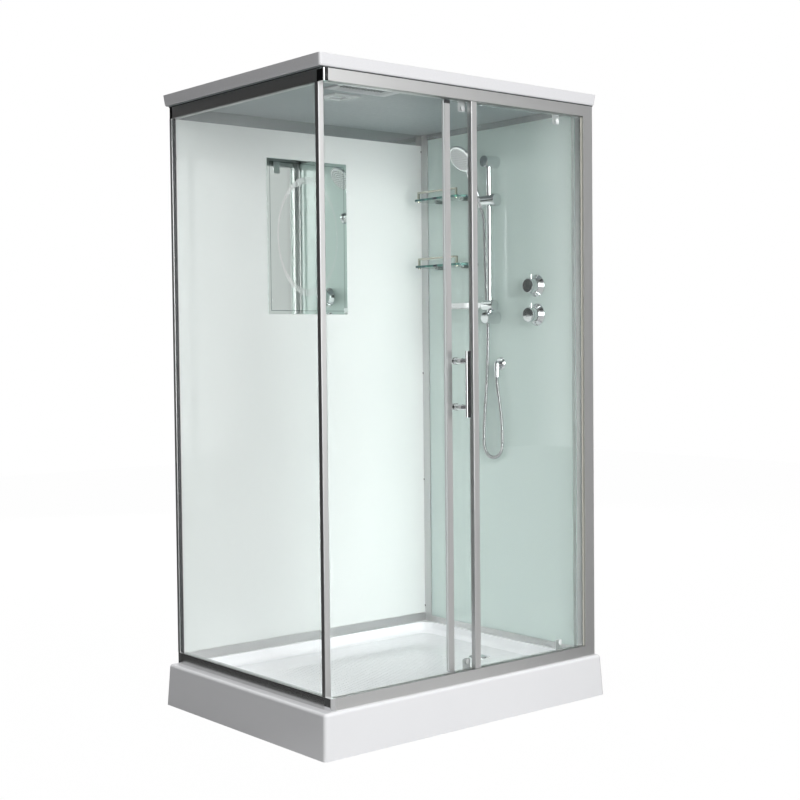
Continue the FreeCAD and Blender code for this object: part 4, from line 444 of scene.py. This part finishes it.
def finish_metal():
    """The frame's aluminium with its lines along each profile, the plating and bare metal."""
    lines_x, lines_y, lines_z = (4, 700, 700), (700, 4, 700), (700, 700, 4)
    along_x = aluminium("aluminium_along_x", lines_x)
    along_y = aluminium("aluminium_along_y", lines_y)
    along_z = aluminium("aluminium_along_z", lines_z)
    smooth_x = aluminium("smooth_aluminium_along_x", lines_x, 0.18, 0.22)
    smooth_y = aluminium("smooth_aluminium_along_y", lines_y, 0.20, 0.24)
    paint(along_x, "front_bottom_rail", "front_top_rail", "back_bottom_rail")
    paint(along_y, "left_top_rail", "right_bottom_rail")
    paint(smooth_x, "back_top_rail")
    paint(smooth_y, "left_bottom_rail", "right_top_rail")
    paint(along_z, "front_left_post", "back_left_post", "back_right_post", "front_right_post",
          "fixed_profile", "door_profile")
    plating = polished("chrome", (0.80, 0.815, 0.83), (0.88, 0.885, 0.89))
    paint(plating, "waste_cover", "corner_caps", "handle_bar", "handle_mounts", "riser_rail",
          "riser_brackets", "wall_elbow", "slider_body", "slider_knob", "shower_holder",
          "mixer_escutcheons", "knob_upper", "knob_lower", "soap_slider", "hand_shower")
    paint(polished("shelf_metal", (0.44, 0.43, 0.37), (0.52, 0.51, 0.44)), "shelf_rails")
    # The clips are plated metal painted dark: painted shade under the shelves.
    paint(polished("clip_metal_painted_shade", (0.26, 0.28, 0.28), (0.34, 0.36, 0.36)), "shelf_clips")
    paint(galvanised_steel(), "tray_frame")
    paint(cast_brass(), "mixer_body")
    zinc = plastic("bracket_zinc", (0.66, 0.68, 0.68), (0.74, 0.76, 0.76), 0.3, 0.42, Metallic=0.35)
    paint(zinc, "roller_brackets")


def finish_glass():
    """The clear panes, the shelves and the two painted walls."""
    paint(clear_glass("left_pane_glass", 0), "left_glass")
    paint(clear_glass("front_pane_glass", 1), "fixed_glass", "door_glass")
    # The shelves' tint, edge colour and painted edge glow.
    shelf_colours = ((0.90, 0.97, 0.94), (0.25, 0.55, 0.45), (0.02, 0.02, 0.03))
    paint(clear_glass("shelf_pane_glass", 2, *shelf_colours), "shelf_glasses")
    # Both walls are one mint paint in two tones: the back wall's paler tone is painted light, the
    # right wall's darker, greener one painted shade.
    back_wall = painted_glass("back_wall_paint_painted_light", 1, (0.69, 0.72, 0.71), (0.71, 0.74, 0.73), 0.3)
    paint(back_wall, "back_wall_glass")
    right_wall = painted_glass(
        "right_wall_paint_painted_shade", 0, (0.565, 0.66, 0.63), (0.59, 0.685, 0.655), 0.5)
    paint(right_wall, "right_wall_glass")


def finish_plastic():
    """The tray, the roof and all other moulded pieces."""
    paint(tray_acrylic(), "shower_tray")
    for name, dark, light, smooth, dull, *pieces in PLASTICS:
        paint(plastic(name, dark, light, smooth, dull), *pieces)
    roof = plastic(
        "roof_plastic", (0.85, 0.85, 0.87), (0.865, 0.865, 0.885), 0.26, 0.28, 600, grain=0.01)
    paint(roof, "roof_cover")
    # The ceiling panel is the roof's white plastic painted darker and greener: painted shade, with
    # the green light of the walls painted in.
    ceiling = plastic(
        "ceiling_plastic_painted_shade", (0.34, 0.385, 0.395), (0.37, 0.415, 0.425), 0.34, 0.44, 60, grain=0.01)
    paint(ceiling, "ceiling_panel")
    vinyl = plastic(
        "clear_vinyl", (0.80, 0.86, 0.84), (0.86, 0.91, 0.89), 0.3, 0.4,
        **{"Transmission Weight": 0.9})
    paint(vinyl, "door_trailing_seal")
    dish = plastic(
        "dish_plastic", (0.86, 0.88, 0.88), (0.92, 0.935, 0.93), 0.25, 0.45, 60, 0.0002,
        **{"Transmission Weight": 0.2})
    paint(dish, "soap_dish")


# New pieces, in metres.

HOSE_DIAMETER = 0.013
HOSE_PITCH = 0.0028
HOSE_GROOVE = 0.0007
WALL_FACE = 0.548
HOSE_FOOT = Vector((0.526, 0.00425, 1.092))
HOLDER_PIVOT = Vector((0.510, 0.07225, 1.729))
HOLDER_LEAN = math.radians(24)
# From the holder's pivot to the nut's end, the straight start at either end of the hose, and
# the length inside the grip.
NUT_REACH = 0.026
STRAIGHT_START = 0.026
GRIP_LENGTH = 0.064
# Out from the wall, along it from the elbow and up from the elbow's outlet, in millimetres.
HOSE_POINTS = np.array([
    (15, 67, 530), (15, 64, 418), (16, 58, 298), (16.5, 50, 183), (16.5, 53, 58), (16.5, 62, -57),
    (17, 72, -147), (17, 75, -212), (17, 75.5, -266), (17.3, 46.8, -295), (17.7, 6.2, -295),
    (18, -22.5, -266), (19, -24, -212), (20, -21, -147), (21, -11, -87),
])
# Height where the two lengths of the hose meet, and the heights between which each length
# passes from one body to the other.
HOSE_SPLIT = 1.600
LENGTH_START, LENGTH_END = 1.16, 1.56
TOP_START, TOP_END = 1.672, 1.704

# The spray face leans down, with four rings of nozzles: count and radius of each ring.
SPRAY_LEAN = math.radians(35)
NOZZLE_COUNTS = (6, 12, 18, 24)
NOZZLE_RINGS = (0.010, 0.019, 0.028, 0.037)
# Turned shapes as pairs of radius and height.
NOZZLE_PROFILE = (
    (0.0022, -0.0004), (0.0021, 0.0008), (0.0014, 0.0020), (0.0008, 0.0021), (0.0006, 0.0012),
    (0.00001, 0.0012),
)
SCREW_PROFILE = (
    (0.0040, -0.0004), (0.0039, 0.0006), (0.0030, 0.0015), (0.0016, 0.0019), (0.0012, 0.0009),
    (0.00001, 0.0008),
)
SCREW_HEIGHTS = (0.196, 0.689, 1.101, 1.952)
SCREW_BACK = 0.4320
LEFT_SCREW_HEIGHT = 1.841

LAMP_FRAME_WIDTH = 0.0245
# The grille's slats: their row's shift from the plate's middle and front edge, count and sizes.
SLAT_SHIFT = 0.024
SLAT_INSET = 0.022
SLAT_COUNT = 14
SLAT_ROW = 0.158
SLAT_SIZE = (0.0035, 0.040, 0.0016)
STRIP_SIZE = (0.040, 0.166)

TRAY_FLOOR = 0.098
RIB_PITCH = 0.014
RIB_LEFT, RIB_RIGHT = -0.47, 0.30
RIB_MIDDLE = -0.04
RIB_SIZE = (RIB_PITCH / 2, 0.58, 0.0012)

# The roof's gasket, a dark strip of painted shadow under the roof's edge: how far it goes left of
# the rail and stands proud, its width, and how far it reaches below and above the rail's top.
GASKET_LEFT = 0.0174
GASKET_PROUD = 0.0004
GASKET_WIDTH = 0.004
GASKET_DROP = 0.0026
GASKET_RISE = 0.0003
BEAD_WIDTH = 0.006
BEAD_SHORTER = 0.024
CORNER_GASKET_WIDTH = 0.015
CAP_HEIGHT = 0.009
CAP_WIDER = 0.0012


def add_mesh(name, points, faces, material, body, smooth=True):
    """A mesh object from whole arrays of points and faces, riding on a body where one is named."""
    mesh = bpy.data.meshes.new(name)
    mesh.from_pydata(points.reshape(-1, 3).tolist(), [], faces.tolist())
    if smooth:
        mesh.shade_smooth()
    else:
        mesh.shade_flat()
    mesh.materials.append(material)
    thing = bpy.data.objects.new(name, mesh)
    scene.collection.objects.link(thing)
    if body:
        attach(thing, body)
    return thing


def corners(name):
    """The lowest corner, the highest corner and the middle of a CAD piece."""
    low, high = np.array(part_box(name))
    return low, high, (low + high) / 2


def grid_faces(rows, columns):
    """Quads of a grid that closes on itself across its columns."""
    row = np.arange(rows - 1)[:, None] * columns
    here = np.arange(columns)[None, :]
    beside = (here + 1) % columns
    quads = [row + here, row + beside, row + columns + beside, row + columns + here]
    return np.stack(quads, axis=-1).reshape(-1, 4)


def ring_faces(rows, columns):
    """Quads of a grid that closes on itself both ways."""
    row = np.arange(rows)[:, None]
    here = np.arange(columns)[None, :]
    row_below = (row + 1) % rows * columns
    row = row * columns
    beside = (here + 1) % columns
    quads = [row + here, row + beside, row_below + beside, row_below + here]
    return np.stack(quads, axis=-1).reshape(-1, 4)


def hose_line():
    """Points along the smooth line of the hose. It starts inside the grip, so that it is still
    there when the grip is lifted, leaves along the leaning nut, hangs to a loop and rises into
    the elbow."""
    down = Vector((math.sin(HOLDER_LEAN), 0, -math.cos(HOLDER_LEAN)))
    nut_end = HOLDER_PIVOT + down * NUT_REACH
    out, along, up = HOSE_POINTS.T / 1000
    hanging = np.stack([WALL_FACE - out, HOSE_FOOT.y + along, HOSE_FOOT.z + up], axis=1)
    top = np.array([nut_end - down * GRIP_LENGTH, nut_end + down * STRAIGHT_START])
    foot = np.array([HOSE_FOOT - Vector((0, 0, STRAIGHT_START)), HOSE_FOOT])
    route = np.concatenate([top, hanging, foot])
    curve = bpy.data.curves.new("hose_route", "CURVE")
    curve.dimensions = "3D"
    spline = curve.splines.new("NURBS")
    spline.points.add(len(route) - 1)
    spline.points.foreach_set("co", np.column_stack([route, np.ones(len(route))]).ravel())
    spline.order_u = 3
    spline.use_endpoint_u = True
    spline.resolution_u = 40
    holder = bpy.data.objects.new("hose_route", curve)
    scene.collection.objects.link(holder)
    bpy.context.view_layer.update()
    traced = bpy.data.meshes.new_from_object(holder)
    line = np.empty(len(traced.vertices) * 3)
    traced.vertices.foreach_get("co", line)
    bpy.data.objects.remove(holder)
    bpy.data.meshes.remove(traced)
    return line.reshape(-1, 3)


def ribbed_tube(line, radius, pitch, depth, sides=12, steps=5):
    """A tube along a line. At length s and angle a its radius is
    r - depth * (1 - |sin(pi s / pitch + a / 2)|), a rounded rib that winds round the tube once
    per pitch."""
    run = np.concatenate([[0], np.cumsum(np.linalg.norm(np.diff(line, axis=0), axis=1))])
    length = np.linspace(0, run[-1], int(run[-1] / pitch * steps))
    centre = np.stack([np.interp(length, run, line[:, axis]) for axis in range(3)], axis=1)
    ahead = np.gradient(centre, axis=0)
    ahead /= np.linalg.norm(ahead, axis=1, keepdims=True)
    side = ALONG_X - ahead * ahead[:, :1]
    side /= np.linalg.norm(side, axis=1, keepdims=True)
    other = np.cross(ahead, side)
    angle = np.arange(sides) * FULL_TURN / sides
    wave = 1 - np.abs(np.sin(math.pi * length[:, None] / pitch + angle[None, :] / 2))
    reach = (radius - depth * wave)[:, :, None]
    turn = angle[None, :, None]
    ring = side[:, None, :] * np.cos(turn) + other[:, None, :] * np.sin(turn)
    return centre[:, None, :] + ring * reach


def add_hose():
    """The hose is two lengths, split at one height: an upper one from the grip and a long one down
    to the elbow."""
    line = hose_line()
    split = int(np.argmax(line[:, 2] < HOSE_SPLIT))
    lower = line[split:][::-1]
    upper = line[:split + 1][::-1]
    finish = Finish("hose_metal", Metallic=1.0)
    finish.colour(finish.spots(300), (0.50, 0.505, 0.51), (0.62, 0.625, 0.63))
    finish.roughness(finish.spots(150), 0.14, 0.26)
    lengths = (
        ("shower_hose_length", lower, "cabin", "slider", LENGTH_START, LENGTH_END),
        ("shower_hose_top", upper, "slider", "holder", TOP_START, TOP_END),
    )
    for name, path, first, second, start, end in lengths:
        points = ribbed_tube(path, HOSE_DIAMETER / 2, HOSE_PITCH, HOSE_GROOVE)
        hose = add_mesh(name, points, grid_faces(*points.shape[:2]), finish.material, None)
        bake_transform(hose)
        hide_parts("shower_hose")


def ring_places(counts, radii):
    """Places on circles round a centre, as offsets across and up."""
    turns = [np.arange(count) * FULL_TURN / count for count in counts]
    return np.concatenate([
        np.stack([np.cos(turn), np.sin(turn)], axis=1) * radius
        for turn, radius in zip(turns, radii)])


def turned_pieces(places, across, up, out, profile, sides=10):
    """Copies of one turned shape: each point is its place plus r (cos a across + sin a up) +
    h out, for the profile's pairs of radius r and height h. The last radius is nearly 0, so the
    top is closed."""
    angle = np.arange(sides) * FULL_TURN / sides
    ring = np.cos(angle)[:, None] * across + np.sin(angle)[:, None] * up
    radius, height = np.array(profile).T
    shape = ring[None, :, :] * radius[:, None, None] + (height[:, None] * out)[:, None, :]
    points = places[:, None, None, :] + shape[None, :, :, :]
    one = grid_faces(len(profile), sides)
    faces = one[None, :, :] + (np.arange(len(places)) * len(profile) * sides)[:, None, None]
    return points, faces.reshape(-1, 4)


def node_points(name):
    """All corner points of a CAD piece."""
    mesh = nodes[name].data
    points = np.empty(len(mesh.vertices) * 3)
    mesh.vertices.foreach_get("co", points)
    return points.reshape(-1, 3)


def add_nozzles():
    """Soft nozzles in four rings on the spray face, each a short cone."""
    out = np.array([-math.cos(SPRAY_LEAN), 0, -math.sin(SPRAY_LEAN)])
    up = np.cross(out, ALONG_Y)
    face = node_points("spray_face")
    reach = face @ out
    front = face[reach > reach.max() - 0.0002]
    middle = (front.min(axis=0) + front.max(axis=0)) / 2
    offsets = ring_places(NOZZLE_COUNTS, NOZZLE_RINGS)
    places = middle + offsets[:, :1] * ALONG_Y + offsets[:, 1:] * up
    points, faces = turned_pieces(places, ALONG_Y, up, out, NOZZLE_PROFILE)
    rubber = plastic("nozzle_rubber", (0.07, 0.075, 0.08), (0.10, 0.105, 0.11), 0.45, 0.6)
    nozzles = add_mesh("spray_nozzles", points, faces, rubber, "hand_shower")


def stacked_plate(name, middle, across, up, size, profile, material, body):
    """Rectangles stacked along the plate's out direction, across x up: for each pair (inset,
    level) of the profile the corners are the middle +- (half size - inset) across and up,
    + level out. The first and last are closed."""
    out = np.cross(across, up)
    inset, level = np.array(profile).T[:, :, None, None]
    sign = np.array([(-1, -1), (1, -1), (1, 1), (-1, 1)])[None, :, :, None]
    reach = np.array(size)[None, None, :, None] / 2 - inset[:, :, :, None]
    spread = (sign * reach * np.stack([across, up])[None, None, :, :]).sum(axis=2)
    points = np.array(middle) + spread + level * out
    rows = len(profile)
    ends = np.array([(3, 2, 1, 0), np.arange(4) + (rows - 1) * 4])
    faces = np.concatenate([grid_faces(rows, 4), ends])
    return add_mesh(name, points, faces, material, body, smooth=False)


def add_mirror():
    """The mirror's pane with a ground edge, nearly flat, along its four sides."""
    low, high, middle = corners("wall_mirror")
    back = (middle[0], high[1], middle[2])
    width, depth, height = high - low
    profile = ((0, 0), (0, depth * 0.97), (0.0008, depth * 0.998), (GROUND_EDGE, depth))
    size = (width, height)
    silver = mirror_glass(middle, size)
    pane = stacked_plate("bevelled_mirror", back, ALONG_X, ALONG_Z, size, profile, silver, "cabin")
    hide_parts("wall_mirror")


def add_lamp_glass():
    """The ceiling lamp: a square frame with a bevelled outer edge round a pane that lies a little
    deeper."""
    low, high, middle = corners("ceiling_lamp")
    top = (middle[0], middle[1], high[2])
    width, length, depth = high - low
    size = np.array((length, width))
    inner = size - 2 * LAMP_FRAME_WIDTH
    frame_profile = (
        (0, 0), (0, depth * 0.4), (0.006, depth), (0.020, depth), (0.024, depth * 0.5),
        (LAMP_FRAME_WIDTH, depth * 0.1),
    )
    pane_profile = ((0, 0), (0, depth * 0.2), (0.012, depth * 0.45))
    ring = plastic("lamp_frame_plastic", (0.60, 0.64, 0.64), (0.66, 0.70, 0.70), 0.16, 0.26)
    pane = plastic("lamp_plastic", (0.50, 0.54, 0.54), (0.56, 0.60, 0.60), 0.12, 0.2)
    plates = (("lamp_frame", size, frame_profile, ring), ("lamp_pane", inner, pane_profile, pane))
    for name, reach, profile, material in plates:
        piece = stacked_plate(name, top, ALONG_Y, ALONG_X, reach, profile, material, "cabin")
        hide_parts("ceiling_lamp")


def box_shapes(middles, size):
    """Boxes of one size as one mesh: each corner is its middle +- half the size along the three
    axes."""
    plan = ((-1, -1), (1, -1), (1, 1), (-1, 1))
    sign = np.array([(x, y, z) for z in (-1, 1) for x, y in plan])
    points = middles[:, None, :] + sign[None, :, :] * np.array(size) / 2
    one = np.array([
        (3, 2, 1, 0), (4, 5, 6, 7), (0, 1, 5, 4), (1, 2, 6, 5), (2, 3, 7, 6), (3, 0, 4, 7)])
    faces = one[None, :, :] + 8 * np.arange(len(middles))[:, None, None]
    return points, faces.reshape(-1, 4)


def add_grille_slats():
    """A row of short slats over a dark strip of painted shadow, on the underside of the ventilation
    plate.
    """
    low, _, middle = corners("fan_grille")
    place = np.array((middle[0] - SLAT_SHIFT, low[1] + SLAT_INSET, low[2]))
    # The dark strip paints the shadow behind the slats.
    dark = plastic("grille_shadow", (0.03, 0.035, 0.035), (0.05, 0.055, 0.055), 0.5, 0.65)
    pale = plastic("grille_slat_plastic", (0.42, 0.45, 0.46), (0.48, 0.51, 0.52), 0.25, 0.36)
    profile = ((0, -0.001), (0, 0.0006))
    strip = stacked_plate(
        "grille_shadow_strip", place, ALONG_Y, ALONG_X, STRIP_SIZE, profile, dark, "cabin")
    across = np.linspace(-SLAT_ROW / 2, SLAT_ROW / 2, SLAT_COUNT)
    middles = place + across[:, None] * ALONG_X - 0.0012 * ALONG_Z
    points, faces = box_shapes(middles, SLAT_SIZE)
    slats = add_mesh("grille_slats", points, faces, pale, "cabin", smooth=False)


def add_tray_ribs():
    """Anti-slip ribs on the standing surface, side by side, from the front to the back."""
    across = np.arange(RIB_LEFT, RIB_RIGHT, RIB_PITCH)
    middles = across[:, None] * ALONG_X + np.array((0, RIB_MIDDLE, TRAY_FLOOR))
    points, faces = box_shapes(middles, RIB_SIZE)
    acrylic = nodes["shower_tray"].material_slots[0].material
    ribs = add_mesh("tray_ribs", points, faces, acrylic, "cabin", smooth=False)


def add_roof_gasket(rubber):
    """A flat ring of dark rubber between the top rails and the roof, a painted shadow line where
    the roof meets the rails: an outer and an inner rectangle at two heights."""
    rail_low, rail_high, _ = corners("front_top_rail")
    _, post_high, _ = corners("back_right_post")
    left, front = rail_low[:2] - (GASKET_LEFT, GASKET_PROUD)
    right, back = post_high[:2] + GASKET_PROUD
    foot, top = rail_high[2] - GASKET_DROP, rail_high[2] + GASKET_RISE
    outer = np.array([(left, front), (right, front), (right, back), (left, back)])
    inner = outer + GASKET_WIDTH * np.array([(1, 1), (-1, 1), (-1, -1), (1, -1)])
    rows = ((outer, foot), (outer, top), (inner, top), (inner, foot))
    points = np.stack([np.column_stack([plan, np.full(4, level)]) for plan, level in rows])
    ring = add_mesh("roof_shadow_gasket", points, ring_faces(4, 4), rubber, "cabin", smooth=False)


def add_glazing_bead():
    """The bead along the fixed pane at the front right post."""
    vinyl = plastic("bead_vinyl", (0.46, 0.46, 0.40), (0.54, 0.54, 0.48), 0.35, 0.5)
    low, high, pane = corners("fixed_glass")
    post, _, _ = corners("front_right_post")
    middle = (post[0] - BEAD_WIDTH / 2, low[1], pane[2])
    size = (BEAD_WIDTH, high[2] - low[2] - BEAD_SHORTER)
    profile = ((0, 0), (0, 0.0014), (0.0012, 0.0026))
    bead = stacked_plate("glazing_bead", middle, ALONG_X, ALONG_Z, size, profile, vinyl, "cabin")


def add_corner_gasket(rubber):
    """The gasket on the back left post, along its whole height."""
    low, high, post = corners("back_left_post")
    middle = (post[0], low[1], post[2])
    size = (CORNER_GASKET_WIDTH, high[2] - low[2])
    profile = ((0, 0), (0, 0.0006), (0.0012, 0.0014))
    gasket = stacked_plate(
        "left_corner_gasket", middle, ALONG_X, ALONG_Z, size, profile, rubber, "cabin")


def add_door_cap(rubber):
    """The cap over the upper end of the door's profile."""
    low, high, profile_middle = corners("door_profile")
    foot = (profile_middle[0], profile_middle[1], high[2] - CAP_HEIGHT)
    size = (high - low)[:2] + CAP_WIDER
    profile = ((0, 0), (0, CAP_HEIGHT), (0.0012, 0.0105))
    cap = stacked_plate("door_end_cap", foot, ALONG_X, ALONG_Y, size, profile, rubber, "door")


def add_post_screws():
    """Round screw heads on the two back posts."""
    steel = plastic(
        "screw_steel", (0.16, 0.165, 0.17), (0.24, 0.245, 0.25), 0.3, 0.45, Metallic=0.8)
    right_post, _, _ = corners("back_right_post")
    places = np.array([(right_post[0], SCREW_BACK, height) for height in SCREW_HEIGHTS])
    points, faces = turned_pieces(places, ALONG_Z, ALONG_Y, -ALONG_X, SCREW_PROFILE)
    right_screws = add_mesh("back_right_screws", points, faces, steel, "cabin")
    low, high, _ = corners("back_left_post")
    places = np.array([(high[0] - 0.0045, low[1] - 0.0014, LEFT_SCREW_HEIGHT)])
    points, faces = turned_pieces(places, ALONG_X, ALONG_Z, -ALONG_Y, SCREW_PROFILE)
    left_screw = add_mesh("back_left_screw", points, faces, steel, "cabin")


def add_small_parts():
    """Gaskets of the roof, a painted shadow line, and of the left corner, glazing bead, end cap of
    the door's profile and the screws of the back posts."""
    # One dark rubber for the gaskets and the cap; under the roof it is painted shadow.
    rubber = plastic(
        "gasket_rubber_and_shadow", (0.035, 0.035, 0.037), (0.055, 0.055, 0.058), 0.5, 0.65)
    add_roof_gasket(rubber)
    add_glazing_bead()
    add_corner_gasket(rubber)
    add_door_cap(rubber)
    add_post_screws()


add_camera()
add_floor()
add_light()
finish_metal()
finish_glass()
finish_plastic()
add_hose()
add_nozzles()
add_mirror()
add_lamp_glass()
add_grille_slats()
add_tray_ribs()
add_small_parts()
